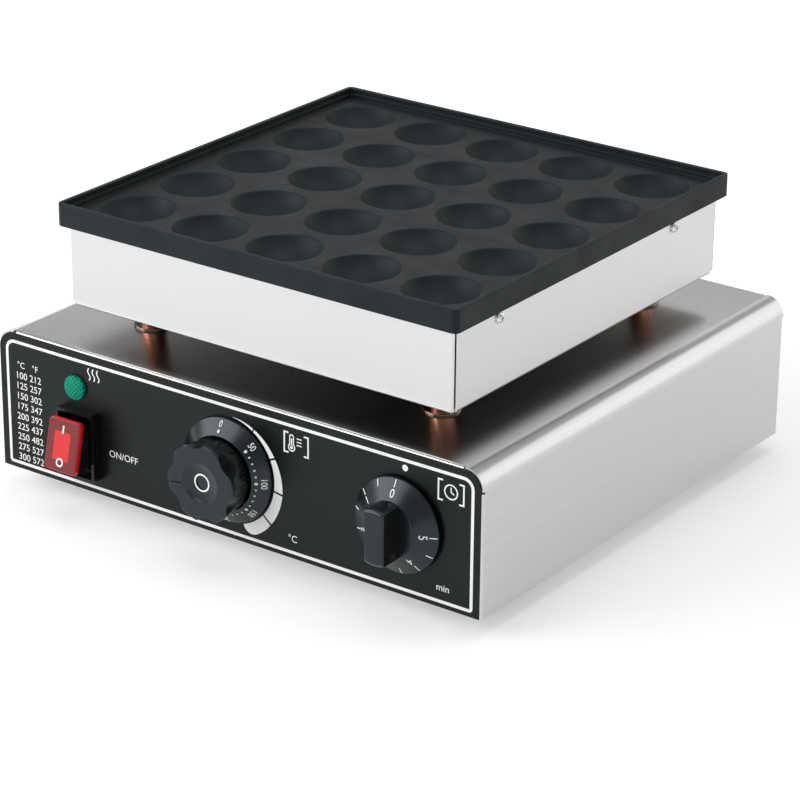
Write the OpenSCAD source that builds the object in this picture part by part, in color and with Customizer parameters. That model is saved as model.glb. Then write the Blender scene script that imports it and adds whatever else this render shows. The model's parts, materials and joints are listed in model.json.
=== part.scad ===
// Electric mini pancake maker: a folded steel base with a control panel, four
// posts, a heater box and a cast pan with rows of round dimples.
// Millimetres, +Z up. The machine stands on z = 0 and its panel faces -Y.

/* [Base housing] */
// Width of the folded base
base_w = 350; // [330:1:400]
// Depth of the folded base
base_d = 323; // [310:1:380]
// Height of the base's side walls
base_h = 89; // [86:1:120]
// Outer radius of the two long top bends
bend_r = 12; // [6:0.5:18]
// Thickness of the housing sheets
sheet_t = 1; // [0.8:0.1:1.5]
// Outer radius of the small folds
fold_r = 2; // [1.8:0.1:3]
// Width of the edges that are folded in
flange_w = 13; // [11:0.5:16]
// Width of the relief notches beside the long bends
notch_w = 1.2; // [0.6:0.1:2]
// Thickness of the printed panel
overlay_t = 0.8; // [0.5:0.1:1.5]
// Margin of the printed panel inside the base's outline
overlay_edge = 0.9; // [0.5:0.1:2]
// Margin of the rear panel and of the bottom plate inside the base's outline
cover_edge = 2; // [1:0.5:4]
// Length of a vent slot in the bottom plate
vent_l = 46; // [20:1:60]
// Width of a vent slot in the bottom plate
vent_w = 4; // [3:0.5:6]
// Number of vent slots in each group
vent_n = 6; // [3:1:8]
// Distance from the middle to the first vent slot
vent_start = 24; // [16:1:30]

/* [Feet] */
// Height of the base's lower edge above the floor
stand_h = 12; // [10:0.5:20]
// Diameter of a foot where it meets the bottom plate
foot_d = 28; // [22:1:34]
// Diameter of a foot where it meets the floor
foot_tip_d = 24; // [20:1:30]
// Distance from a foot's centre to the base's edges
foot_inset = 38; // [34:1:50]

/* [Posts] */
// Gap between the base and the heater box
post_gap = 15.5; // [14:0.5:30]
// Diameter of the copper sleeve
sleeve_d = 14.5; // [13:0.5:17]
// Diameter of the collar at a post's foot
collar_d = 22.5; // [20:0.5:25]
// Height of that collar
collar_h = 1.4; // [1:0.1:3]
// Diameter of the threaded tube inside a post
tube_d = 10; // [9:0.5:11]
// Diameter of the tube's bore
tube_bore = 6; // [5:0.5:7]
// Distance from the box's left side to the left posts
post_left = 33.5; // [28:0.5:60]
// Distance from the box's right side to the right posts
post_right = 30.5; // [26:0.5:40]
// Distance from the box's front to the front posts
post_front = 33.5; // [28:0.5:40]
// Distance from the box's back to the rear posts
post_back = 33.5; // [28:0.5:50]

/* [Heater box] */
// Width of the heater box
box_w = 275; // [265:1:300]
// Depth of the heater box
box_d = 275; // [265:1:300]
// Height of the heater box
box_h = 50; // [46:0.5:60]
// Width of the open seams at the box's front corners
seam_w = 1.6; // [0.6:0.1:2]
// Height of the heat shield above the box's floor
shield_h = 15; // [13:0.5:18]
// Distance from the shield's edges to the box's walls
shield_edge = 14; // [10:1:20]

/* [Pan] */
// Overhang of the pan's rim past the heater box
pan_overhang = 5.5; // [3:0.5:8]
// Height of the pan's rim outside
rim_h = 14; // [12:0.5:18]
// Width of the rim's top
rim_top_w = 3; // [2:0.1:4]
// Corner radius of the rim
rim_r = 4; // [3.5:0.5:8]
// Depth of the ledge below the rim's top
ledge_drop = 3.4; // [2:0.1:4]
// Width of the ledge inside the rim
ledge_w = 1.5; // [1:0.1:2.5]
// Depth of the plate below the rim's top
plate_drop = 6; // [5:0.1:8]
// Number of dimples along each side
dimple_n = 5; // [3:1:5]
// Diameter of a dimple
dimple_d = 45; // [40:0.5:48]
// Depth of a dimple
dimple_depth = 12; // [9:0.5:14]
// Distance from the outer dimples to the rim
dimple_edge = 7; // [3:0.5:12]
// Metal left under a dimple
floor_t = 4; // [3:0.5:6]
// Width of the rib under the pan's edge
rib_w = 8; // [6:0.5:12]
// Depth of that rib below the plate
rib_h = 6; // [4:0.5:10]
// Height of the side screws below the rim
screw_drop = 6.3; // [5.5:0.1:7]
// Distance of the side screws from their middle
screw_off = 91.5; // [70:0.5:110]
// Distance of that middle in front of the box's middle
screw_ahead = 2.5; // [0:0.5:6]

/* [Heating element] */
// Diameter of the element's tube
element_d = 8; // [6:0.5:9]
// Distance between two runs of the element
element_pitch = 40; // [34:1:42]
// Length of a straight run
element_run = 186; // [150:1:196]
// Number of runs
element_n = 6; // [4:2:6]
// Length of the cold ends past the runs
element_end = 16; // [10:1:20]
// Distance of the clamp bars from the middle
clamp_off = 60; // [40:1:80]
// Width of a clamp bar
clamp_w = 18; // [14:1:24]
// Thickness of a clamp bar
clamp_t = 2; // [1.5:0.5:3]
// Diameter of a boss under the pan
boss_d = 13; // [11:0.5:16]
// Length of the thermostat's bulb
bulb_l = 150; // [140:1:170]

/* [Temperature dial] */
// Height of both dials above the panel's middle
dial_rise = -0.5; // [-2:0.5:2]
// Outer diameter of the scale ring
ring_d = 64; // [60:0.5:68]
// Height of the scale ring's outer edge
ring_low = 2.2; // [1.5:0.1:4]
// Height of the scale ring's inner edge
ring_high = 8; // [6:0.5:10]
// Diameter of the knob at its back
knob_back_d = 43.5; // [40:0.5:46]
// Diameter of the knob at its front
knob_front_d = 48; // [44:0.5:52]
// Distance from the panel to the knob's front
knob_reach = 26; // [22:0.5:30]
// Number of scallops round the knob
scallop_n = 6; // [4:1:8]
// Radius of a scallop
scallop_r = 14; // [10:0.5:20]
// Depth of a scallop at the front
scallop_depth = 2.8; // [1:0.1:4]
// Diameter of the dish in the knob's front
dish_d = 25; // [20:0.5:30]
// Depth of the dish
dish_depth = 2.6; // [1.5:0.1:3.5]
// Diameter of the knob's centre cap
cap_d = 12; // [9:0.5:14]
// Angle of the pointer from 12 o'clock, clockwise, as it stands
pointer_angle = 261; // [0:1:270]
// Diameter of both control shafts
shaft_d = 6; // [5:0.5:8]

/* [Timer dial] */
// Distance from the base's right side to the timer's centre
timer_inset = 54.3; // [50:0.5:70]
// Diameter of the timer knob's skirt
skirt_d = 57; // [50:0.5:60]
// Height of the skirt's outer edge above the panel
skirt_low = 3.4; // [2.5:0.1:5]
// Height of the skirt's inner edge above the panel
skirt_high = 7.5; // [6:0.5:9]
// Diameter of the timer knob's hub
hub_d = 37; // [32:0.5:42]
// Thickness of the bar grip
grip_w = 13; // [10:0.5:16]
// Distance from the panel to the grip's front
grip_reach = 24; // [20:0.5:26]

/* [Switch and lamp] */
// Distance from the base's left side to the switch's centre
switch_inset = 64.2; // [56:0.5:70]
// Height of the switch's centre above the panel's middle
switch_rise = -12.8; // [-15:0.1:-11]
// Width of the switch's bezel
bezel_w = 29; // [27:0.5:32]
// Height of the switch's bezel
bezel_h = 43; // [41:0.5:46]
// Wall of the bezel
bezel_wall = 2; // [1.6:0.1:2.2]
// Distance that the bezel stands off the panel
bezel_reach = 7; // [6:0.5:9]
// Height of the rocker's cap
rocker_h = 32; // [28:0.5:33]
// Thickness of the rocker's cap
rocker_plate = 3.2; // [2.4:0.1:4]
// Distance from the rocker's pivot to its face
rocker_reach = 15.7; // [13:0.1:17]
// Tilt of the rocker to each side
rocker_tilt = 13; // [8:0.5:14]
// Distance from the panel to the rocker's pivot
pivot_reach = 2.8; // [2.6:0.1:4]
// Diameter of the rocker's pins
pivot_d = 4; // [3:0.1:4.4]
// Distance from the base's left side to the lamp's centre
lamp_inset = 60.5; // [54:0.5:70]
// Height of the lamp's centre above the panel's middle
lamp_rise = 21; // [20:0.1:23]
// Diameter of the lamp's lens
lens_d = 15; // [12:0.5:16]
// Height of the lens at its middle
lens_h = 3.6; // [3:0.1:5]
// Height of the lens at its edge
lens_edge = 2.4; // [1.4:0.1:2.8]
// Diameter of the lamp's holder
holder_d = 10; // [8:0.5:11]

/* [Cord gland] */
// Distance from the base's right side to the gland
gland_inset = 60; // [50:1:90]
// Height of the gland above the base's lower edge
gland_z = 30; // [24:1:50]
// Bore of the gland
gland_bore = 8; // [6:0.5:9]
// Diameter of the gland's thread
gland_thread_d = 15; // [13:0.5:18]
// Width across the flats of the gland's hexagon
gland_flats = 19; // [17:0.5:22]
// Length of the gland outside the rear panel
gland_reach = 18; // [14:0.5:24]

/* [Fits] */
// Gap around a fixed piece in its hole
slip = 0.15; // [0.1:0.05:0.3]
// Gap around a turning shaft or pin
run_gap = 0.05; // [0.02:0.01:0.1]
// Gap between a round piece and the flat that carries it
touch = 0.2; // [0.1:0.05:0.3]
// Gap between sheets that nest
fit_gap = 0.3; // [0.2:0.05:0.5]

/* [Hidden] */
$fn = 64;

// The origin is under the middle of the whole machine, knob to gland
total_d = knob_reach + overlay_t + base_d + sheet_t + gland_reach;
face_y = knob_reach - total_d/2;
front_y = face_y + overlay_t;
back_y = front_y + base_d;
mid_y = front_y + base_d/2;
panel_back = front_y + 2*sheet_t;
base_top = stand_h + base_h;

// Heater box and pan
box_z = base_top + post_gap;
box_top = box_z + box_h;
seam_shut = 0.2;
pan_w = box_w + 2*pan_overhang;
pan_d = box_d + 2*pan_overhang;
pan_top = box_top + rim_h;
cook_z = pan_top - plate_drop;
plate_low = cook_z - dimple_depth - floor_t;
rib_low = plate_low - rib_h;
plate_w = pan_w - 2*(rim_top_w + ledge_w);
plate_d = pan_d - 2*(rim_top_w + ledge_w);
recess_r = rim_r - rim_top_w;
plate_r = recess_r/2;
body_w = box_w - 2*(sheet_t + fit_gap);
body_d = box_d - 2*(sheet_t + fit_gap);
pitch_x = (plate_w - dimple_d - 2*dimple_edge)/(dimple_n - 1);
pitch_y = (plate_d - dimple_d - 2*dimple_edge)/(dimple_n - 1);
dimple_ball = (pow(dimple_d/2, 2) + pow(dimple_depth, 2))/(2*dimple_depth);
element_z = plate_low - touch - element_d/2;
clamp_top = element_z - element_d/2 - touch;
clamp_past = 12;
clamp_l = (element_n - 1)*element_pitch + 2*clamp_past;
clamp_screw_y = (element_n/2 - 1)*element_pitch;
shield_z = box_z + sheet_t + shield_h;
shield_leg = 16;
pin_d = 3.5;
pin_l = 9;
pin_x = -element_run/2 - element_end - pin_l;
pin_y = (element_n - 1)/2*element_pitch;
drop_x = box_w/2 - sheet_t - shield_edge/2;

// Posts
posts = [for (x = [-box_w/2 + post_left, box_w/2 - post_right])
    for (y = [mid_y - box_d/2 + post_front, mid_y + box_d/2 - post_back]) [x, y]];
collar_edge = 0.4;
nut_flats = 17;
nut_h = 6;
tube_past = 2;
tube_low = base_top - sheet_t - nut_h - tube_past;
tube_high = box_z + sheet_t + nut_h + tube_past;
cross_z = (tube_high + shield_z)/2;
lead_in = 8;

// Screw heads: straight edge as a share of the height, then the dome's radius
// and the cross's length and width as shares of the diameter
head_edge = 0.45;
head_dome = 0.62;
drive_l = 0.56;
drive_w = 0.12;
// Gap beyond the tip of a screw or a shaft in its blind hole
tip_gap = 1;

// Screws: diameter of the thread, of the head, and height of the head
screw_d = 4;
screw_head_d = 7;
screw_head_h = 2.4;
screw_l = 8;
small_screw_d = 3;
small_head_d = 5.6;
small_head_h = 2;

// Flange middles that the covers are screwed to
flange_mid = (fold_r + flange_w)/2;
cover_screw_low = 18;
cover_screw_high = 10;
cover_screw_end = 40;
rear_holes = [
    for (s = [-1, 1]) [s*(base_w/2 - flange_mid), stand_h + cover_screw_low],
    for (s = [-1, 1]) [s*(base_w/2 - flange_mid), base_top - bend_r - notch_w - cover_screw_high],
    for (s = [-1, 1]) [s*base_w/6, base_top - flange_mid]
];
bottom_holes = [
    for (s = [-1, 1]) for (k = [-1, 0, 1])
        [s*(base_w/2 - flange_mid), mid_y + k*(base_d/2 - cover_screw_end)],
    for (s = [-1, 1]) [s*base_w/4, front_y + sheet_t + flange_w/2 + fold_r/2]
];
foot_spots = [for (s = [-1, 1]) for (k = [-1, 1])
    [s*(base_w/2 - foot_inset), mid_y + k*(base_d/2 - foot_inset)]];
foot_bolt_d = 5;
foot_head_d = 9;
foot_head_h = 3;
foot_sole = 5;
foot_nut_flats = 8;
foot_nut_h = 4;

// Controls on the panel
panel_mid = stand_h + base_h/2;
dial_h = panel_mid + dial_rise;
timer_x = base_w/2 - timer_inset;
switch_x = -base_w/2 + switch_inset;
switch_h = panel_mid + switch_rise;
lamp_x = -base_w/2 + lamp_inset;
lamp_h = panel_mid + lamp_rise;
shaft_hole_d = shaft_d + 4;
dial_screw_x = 14;
ring_floor = 1.5;
ring_lip = 0.6;
knob_clear = 0.6;
knob_wall = 5;
knob_low = ring_floor + screw_head_h + 0.8;
knob_roof = 5;
knob_hub_d = shaft_d + 6;
shaft_depth = 12;
groove_w = 2;
groove_depth = 0.9;
cap_t = 1.5;
cap_rise = 0.6;
cap_lip = 1.6;
thermostat_size = [44, 30, 38];
timer_size = [46, 32, 44];
skirt_clear = 1;
skirt_wall = 3;
skirt_hollow = 0.6;
hub_rise = 1.5;
cutout_w = bezel_w - 3;
cutout_h = bezel_h - 5;
bezel_r = 2.5;
rocker_clear = 0.75;
rocker_lip = 0.5;
rocker_r = 3;
rocker_body_w = bezel_w - 2*(bezel_wall + rocker_clear);
rocker_w = rocker_body_w + 2*rocker_lip;
rocker_back_h = rocker_h*0.56;
rocker_back = 3;
pin_cover = 0.5;
pin_grip = 1.2;
pivot_y = face_y - pivot_reach;
well_depth = 9;
well_wall = 0.8;
well_end = 2;
switch_depth = 22;
terminal_size = [0.8, 9, 6.3];
terminal_off = [7, 11];
lens_ball = (pow(lens_d/2, 2) + pow(lens_h - lens_edge, 2))/(2*(lens_h - lens_edge));
holder_depth = 24;
lamp_nut_flats = 14;
lamp_nut_h = 3;

// Cord gland and the pieces behind it
gland_x = base_w/2 - gland_inset;
gland_h = stand_h + gland_z;
gland_inner = 11;
gland_nut_h = 5;
gland_hex_h = 6;
gland_edge = 0.5;
gland_dome = 7;
gland_dome_angle = 55;
block_size = [46, 20, 16];
block_foot = [14, 8, 3];
pole_up = 9;
clamp_hole = 5;
block_off = [70, 58];
block_x = gland_x - block_off.x;
block_y = back_y - block_off.y;
block_screw_y = (block_size.y + block_foot.y)/2;
pole_n = 3;
pole_pitch = 14;
stud_off = [14, 52];
stud_x = gland_x + stud_off.x;
stud_y = back_y - stud_off.y;
stud_d = 5;
stud_l = 16;
stud_nut_flats = 8;
stud_nut_h = 4;
wire_d = 3;
straight_lead = 2;
capillary_d = 2;

// Outline with two round upper corners, standing on y = 0
module rounded_top(w, h, r) {
    translate([-w/2, 0])
        square([w, h - r]);
    translate([-w/2 + r, h - r - 1])
        square([w - 2*r, r + 1]);
    for (s = [-1, 1])
        translate([s*(w/2 - r), h - r])
            circle(r);
}

// Rectangle with four round corners, centred
module round_rect(w, h, r) {
    square([w - 2*r, h], center = true);
    square([w, h - 2*r], center = true);
    for (sx = [-1, 1])
        for (sy = [-1, 1])
            translate([sx*(w/2 - r), sy*(h/2 - r)])
                circle(r);
}

// A flat outline raised from the plane y = y0 towards the front
module facing(y0, t) {
    translate([0, y0, 0])
        rotate([90, 0, 0])
            linear_extrude(t)
                children();
}

// A turned piece on the panel: its own +Z points out of the panel
module on_panel(x, h) {
    translate([x, face_y, h])
        rotate([90, 0, 0])
            children();
}

// An outline in Y and Z, drawn out along X and centred
module along_x(l) {
    translate([-l/2, 0, 0])
        rotate([90, 0, 90])
            linear_extrude(l)
                children();
}

// The same shape at the front and, mirrored, at the back of the base
module both_ends() {
    children();
    translate([0, 2*mid_y, 0])
        mirror([0, 1, 0])
            children();
}

// Pan-head screw with a cross recess: head upwards from z = 0, thread below
module pan_screw(d, head_d, head_h, l) {
    difference() {
        union() {
            translate([0, 0, -l])
                cylinder(h = l, d = d);
            cylinder(h = head_h*head_edge, d = head_d);
            intersection() {
                cylinder(h = head_h, d = head_d);
                translate([0, 0, head_h - head_d*head_dome])
                    sphere(head_d*head_dome);
            }
        }
        for (a = [0, 90])
            rotate([0, 0, a])
                translate([-head_d*drive_l/2, -head_d*drive_w/2, head_h*head_edge])
                    cube([head_d*drive_l, head_d*drive_w, head_h]);
    }
}

// Hexagon nut with a plain hole, standing on z = 0
module hex_nut(flats, h, hole) {
    difference() {
        cylinder(h = h, d = flats/cos(30), $fn = 6);
        translate([0, 0, -1])
            cylinder(h = h + 2, d = hole);
    }
}

// Bend of a folded sheet: the sheet leaves along +x, its flange along -y
module fold_bend() {
    intersection() {
        translate([fold_r, -fold_r])
            difference() {
                circle(fold_r);
                circle(fold_r - sheet_t);
            }
        translate([0, -fold_r])
            square(fold_r);
    }
}

// The bend with a flange of the usual width
module fold_profile() {
    fold_bend();
    translate([0, -flange_w])
        square([sheet_t, flange_w - fold_r]);
}

function unit(v) = v/norm(v);
function tangent(p, i) = unit(p[min(i + 1, len(p) - 1)] - p[max(i - 1, 0)]);
function first_normal(t) = unit(cross(t, abs(t.z) < 0.8 ? [0, 0, 1] : [1, 0, 0]));
function carried(n, t) = unit(n - t*(n*t));
function normals(p, i = 0, last = undef) = i == len(p) ? [] :
    let (t = tangent(p, i), n = i == 0 ? first_normal(t) : carried(last, t))
    concat([n], normals(p, i + 1, n));
// A smooth curve through the points, with a few steps between each two
function between(a, b, c, d, u) = 0.5*((2*b) + (c - a)*u
    + (2*a - 5*b + 4*c - d)*u*u + (3*b - a - 3*c + d)*u*u*u);
function curve(p, steps) = concat(
    [for (i = [0:len(p) - 2]) for (k = [0:steps - 1])
        between(p[max(i - 1, 0)], p[i], p[i + 1], p[min(i + 2, len(p) - 1)], k/steps)],
    [p[len(p) - 1]]);
// The same with a short straight lead at both ends, so that a wire's ends are square
function lead(a, b) = a + straight_lead*unit(b - a);
function route(p, steps) = let (n = len(p) - 1) concat(
    [p[0]],
    curve(concat([lead(p[0], p[1])], [for (i = [1:n - 1]) p[i]], [lead(p[n], p[n - 1])]), steps),
    [p[n]]);

// A round wire swept along such a route through the points
module wire(points, d, sides = 8, steps = 4) {
    p = route(points, steps);
    n = normals(p);
    rings = [for (i = [0:len(p) - 1]) for (k = [0:sides - 1])
        let (b = cross(tangent(p, i), n[i]), a = 360*k/sides)
        p[i] + d/2*(cos(a)*n[i] + sin(a)*b)];
    last = sides*(len(p) - 1);
    polyhedron(rings, concat(
        [[for (k = [0:sides - 1]) k]],
        [[for (k = [0:sides - 1]) last + sides - 1 - k]],
        [for (i = [0:len(p) - 2]) for (k = [0:sides - 1]) for (h = [0, 1])
            let (j = (k + 1) % sides, lo = sides*i, hi = sides*(i + 1))
            h == 0 ? [lo + k, hi + k, hi + j] : [lo + k, hi + j, lo + j]]));
}

// Section of the base's sheet, open below
module wrap_section() {
    translate([0, stand_h])
        difference() {
            rounded_top(base_w, base_h, bend_r);
            translate([0, -1])
                rounded_top(base_w - 2*sheet_t, base_h - sheet_t + 1, bend_r - sheet_t);
        }
}

// Sheet over the top and both sides, with its edges folded in and notched at the bends
module base_wrap() {
    side_h = base_h - bend_r - notch_w;
    color("gainsboro")
        difference() {
            union() {
                facing(back_y - fold_r, base_d - 2*fold_r)
                    wrap_section();
                both_ends() {
                    translate([0, front_y, base_top])
                        along_x(base_w - 2*(bend_r + notch_w))
                            fold_profile();
                    for (m = [0, 1])
                        mirror([m, 0, 0])
                            translate([-base_w/2, front_y, stand_h])
                                linear_extrude(side_h)
                                    rotate(90)
                                        fold_profile();
                    facing(front_y + fold_r, fold_r)
                        intersection() {
                            wrap_section();
                            for (s = [-1, 1])
                                translate([s*(base_w/2 - bend_r/2), base_top - bend_r/2])
                                    square(bend_r, center = true);
                        }
                }
                for (m = [0, 1])
                    mirror([m, 0, 0])
                        translate([base_w/2 - flange_w, front_y + 2*fold_r, stand_h])
                            cube([flange_w - sheet_t/2, base_d - 4*fold_r, sheet_t]);
            }
            for (p = posts)
                translate([p.x, p.y, base_top - 2*sheet_t])
                    cylinder(h = 3*sheet_t, d = tube_d + 2*slip);
            for (p = bottom_holes)
                translate([p.x, p.y, stand_h - sheet_t])
                    cylinder(h = 3*sheet_t, d = screw_d + 2*slip);
            for (p = rear_holes)
                translate([p.x, back_y + sheet_t, p.y])
                    rotate([90, 0, 0])
                        cylinder(h = 3*sheet_t, d = screw_d + 2*slip);
        }
}

// Holes for the controls, as a flat outline
module control_holes() {
    translate([lamp_x, lamp_h])
        circle(d = holder_d + 2*slip);
    translate([switch_x, switch_h])
        square([cutout_w + 2*fit_gap, cutout_h + 2*fit_gap], center = true);
    for (x = [0, timer_x])
        translate([x, dial_h]) {
            circle(d = shaft_hole_d);
            for (s = [-1, 1])
                translate([s*dial_screw_x, 0])
                    circle(d = screw_d + 2*slip);
        }
}

// Steel panel behind the folded front edges, with a foot for the bottom plate
module front_panel() {
    foot_w = base_w - 2*flange_w - 2*fit_gap;
    color("silver")
        difference() {
            union() {
                facing(panel_back, sheet_t)
                    difference() {
                        translate([0, stand_h])
                            rounded_top(base_w - 2*(fold_r + fit_gap), base_h - fold_r - fit_gap,
                                bend_r - fold_r);
                        control_holes();
                    }
                translate([-foot_w/2, panel_back - sheet_t/2, stand_h])
                    cube([foot_w, flange_w, sheet_t]);
            }
            for (p = bottom_holes)
                translate([p.x, p.y, stand_h - sheet_t])
                    cylinder(h = 3*sheet_t, d = screw_d + 2*slip);
        }
}

// Printed panel on the folded front edges
module panel_overlay() {
    color([0.15, 0.16, 0.18])
        facing(front_y, overlay_t)
            difference() {
                translate([0, stand_h + overlay_edge])
                    rounded_top(base_w - 2*overlay_edge, base_h - 2*overlay_edge,
                        bend_r - overlay_edge);
                control_holes();
            }
}

// Cover on the folded rear edges, with the cord's hole
module rear_panel() {
    color("silver")
        facing(back_y + sheet_t, sheet_t)
            difference() {
                translate([0, stand_h + cover_edge])
                    rounded_top(base_w - 2*cover_edge, base_h - 2*cover_edge, bend_r - cover_edge);
                translate([gland_x, gland_h])
                    circle(d = gland_thread_d + 2*slip);
                for (p = rear_holes)
                    translate(p)
                        circle(d = screw_d + 2*slip);
            }
}

module rear_screws() {
    color("silver")
        for (p = rear_holes)
            translate([p.x, back_y + sheet_t, p.y])
                rotate([-90, 0, 0])
                    pan_screw(screw_d, screw_head_d, screw_head_h, screw_l);
}

// Slot with round ends along y
module slot(l, w) {
    square([w, l - w], center = true);
    for (s = [-1, 1])
        translate([0, s*(l - w)/2])
            circle(d = w);
}

// Plate that closes the base from below, with vents and the feet's holes
module bottom_plate() {
    color("silver")
        translate([0, 0, stand_h - sheet_t])
            linear_extrude(sheet_t)
                difference() {
                    translate([0, mid_y])
                        square([base_w - 2*cover_edge, base_d - 2*cover_edge], center = true);
                    for (p = foot_spots)
                        translate(p)
                            circle(d = foot_bolt_d + 2*slip);
                    for (p = bottom_holes)
                        translate(p)
                            circle(d = screw_d + 2*slip);
                    for (s = [-1, 1])
                        for (k = [0:vent_n - 1])
                            translate([s*(vent_start + 3*vent_w*k), mid_y])
                                slot(vent_l, vent_w);
                    for (k = [-1, 1])
                        translate([block_x, block_y + k*block_screw_y])
                            circle(d = small_screw_d + 2*slip);
                    translate([stud_x, stud_y])
                        circle(d = stud_d + 2*slip);
                }
}

module bottom_screws() {
    color("silver")
        for (p = bottom_holes)
            translate([p.x, p.y, stand_h - sheet_t])
                rotate([180, 0, 0])
                    pan_screw(screw_d, screw_head_d, screw_head_h, screw_l);
}

// Tapered rubber feet, each with a counterbore for its screw
module feet() {
    h = stand_h - sheet_t;
    color([0.12, 0.12, 0.12])
        for (p = foot_spots)
            translate([p.x, p.y, 0])
                difference() {
                    cylinder(h = h, d1 = foot_tip_d, d2 = foot_d);
                    translate([0, 0, -1])
                        cylinder(h = h - foot_sole + 1, d = foot_head_d + 2);
                    cylinder(h = h + 1, d = foot_bolt_d + 2*slip);
                }
}

module foot_screws() {
    l = foot_sole + sheet_t + foot_nut_h + tip_gap;
    color("silver")
        for (p = foot_spots)
            translate([p.x, p.y, stand_h - sheet_t - foot_sole])
                rotate([180, 0, 0])
                    pan_screw(foot_bolt_d, foot_head_d, foot_head_h, l);
}

module foot_nuts() {
    color("silver")
        for (p = foot_spots)
            translate([p.x, p.y, stand_h])
                hex_nut(foot_nut_flats, foot_nut_h, foot_bolt_d + 2*slip);
}

// Cord gland: a hexagon outside the panel, a rounded end and a thread inside
module cord_gland() {
    r = gland_flats/2 - gland_edge;
    dome = gland_dome/sin(gland_dome_angle);
    color([0.12, 0.12, 0.13])
        translate([gland_x, back_y + sheet_t, gland_h])
            rotate([-90, 0, 0])
                difference() {
                    union() {
                        cylinder(h = gland_hex_h, d = gland_flats/cos(30), $fn = 6);
                        rotate_extrude()
                            polygon(concat(
                                [[0, gland_reach], [0, -sheet_t - gland_inner],
                                    [gland_thread_d/2, -sheet_t - gland_inner],
                                    [gland_thread_d/2, 0], [r, 0]],
                                [for (a = [0:gland_dome_angle/5:gland_dome_angle])
                                    [r*cos(a), gland_reach - gland_dome + dome*sin(a)]]));
                    }
                    translate([0, 0, -sheet_t - gland_inner - 1])
                        cylinder(h = gland_inner + gland_reach + 4, d = gland_bore);
                }
}

module gland_nut() {
    color([0.12, 0.12, 0.13])
        translate([gland_x, back_y, gland_h])
            rotate([90, 0, 0])
                hex_nut(gland_flats, gland_nut_h, gland_thread_d + 2*slip);
}

// Hollow threaded tubes that carry the box and lead the wires through
module post_tubes() {
    l = tube_high - tube_low;
    color("darkgoldenrod")
        for (p = posts)
            translate([p.x, p.y, tube_low])
                difference() {
                    cylinder(h = l, d = tube_d);
                    translate([0, 0, -1])
                        cylinder(h = l + 2, d = tube_bore);
                }
}

module post_sleeves() {
    color([0.72, 0.45, 0.33])
        for (p = posts)
            translate([p.x, p.y, base_top + collar_h])
                difference() {
                    cylinder(h = post_gap - collar_h, d = sleeve_d);
                    translate([0, 0, -1])
                        cylinder(h = post_gap, d = tube_d + 2*slip);
                }
}

// Turned collars that the sleeves stand on
module post_collars() {
    r = collar_d/2;
    color([0.55, 0.42, 0.25])
        for (p = posts)
            translate([p.x, p.y, base_top])
                rotate_extrude()
                    polygon([
                        [tube_d/2 + slip, 0], [r, 0], [r, collar_h - collar_edge],
                        [r - collar_edge, collar_h], [tube_d/2 + slip, collar_h]
                    ]);
}

module post_nuts() {
    color("darkgoldenrod")
        for (p = posts)
            for (z = [base_top - sheet_t - nut_h, box_z + sheet_t])
                translate([p.x, p.y, z])
                    hex_nut(nut_flats, nut_h, tube_d + 2*slip);
}

// Plan of a wall whose two outer edges are rounded
module rounded_wall(l) {
    flat = l - 2*sheet_t;
    translate([-flat/2, 0])
        square([flat, sheet_t]);
    for (m = [0, 1])
        mirror([m, 0])
            intersection() {
                translate([flat/2, sheet_t])
                    circle(sheet_t);
                translate([flat/2, 0])
                    square(sheet_t);
            }
}

// Bend between the box's floor and one of its walls, along x at y = 0
module floor_bend(l) {
    along_x(l)
        mirror([0, 1])
            fold_bend();
}

// Folded steel tray, its side walls close to the back wall and an open seam away from the front wall
module heater_box() {
    side_l = box_d - 2*sheet_t - seam_w - seam_shut;
    color([0.9, 0.9, 0.9])
        translate([0, mid_y, box_z])
            difference() {
                union() {
                    translate([-box_w/2 + fold_r, -box_d/2 + fold_r, 0])
                        cube([box_w - 2*fold_r, box_d - 2*fold_r, sheet_t]);
                    for (a = [0, 180])
                        rotate([0, 0, a])
                            translate([0, -box_d/2, 0]) {
                                translate([0, 0, fold_r])
                                    linear_extrude(box_h - fold_r)
                                        rounded_wall(box_w);
                                floor_bend(box_w - 2*fold_r);
                            }
                    for (m = [0, 1])
                        mirror([m, 0, 0])
                            rotate([0, 0, 90])
                                translate([(seam_w - seam_shut)/2, -box_w/2, 0]) {
                                    translate([-side_l/2, 0, fold_r])
                                        cube([side_l, sheet_t, box_h - fold_r]);
                                    floor_bend(side_l - 2*fold_r);
                                }
                }
                for (p = posts)
                    translate([p.x, p.y - mid_y, -sheet_t])
                        cylinder(h = 3*sheet_t, d = tube_d + 2*slip);
                for (k = [-1, 1])
                    translate([-box_w/2 - 1, k*screw_off - screw_ahead, box_h - screw_drop])
                        rotate([0, 90, 0])
                            cylinder(h = box_w + 2, d = screw_d + 2*slip);
            }
}

// Bright plate on four folded legs that throws the heat up to the pan
module heat_shield() {
    w = box_w - 2*(sheet_t + shield_edge);
    d = box_d - 2*(sheet_t + shield_edge);
    color("gainsboro")
        translate([0, mid_y, 0]) {
            translate([-w/2, -d/2, shield_z])
                cube([w, d, sheet_t]);
            for (sx = [-1, 1])
                for (sy = [-1, 1])
                    translate([sx*w/5 - shield_leg/2, sy*d*0.4 - sheet_t/2, box_z + sheet_t]) {
                        cube([shield_leg, sheet_t, shield_h + sheet_t/2]);
                        cube([shield_leg, shield_leg/2, sheet_t]);
                    }
        }
}

// Centres of the dimples from the pan's middle
dimples = [for (i = [0:dimple_n - 1]) for (j = [0:dimple_n - 1])
    [(i - (dimple_n - 1)/2)*pitch_x, (j - (dimple_n - 1)/2)*pitch_y]];
bosses = [for (sx = [-1, 1]) for (sy = [-1, 1]) [sx*clamp_off, sy*clamp_screw_y]];

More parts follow.
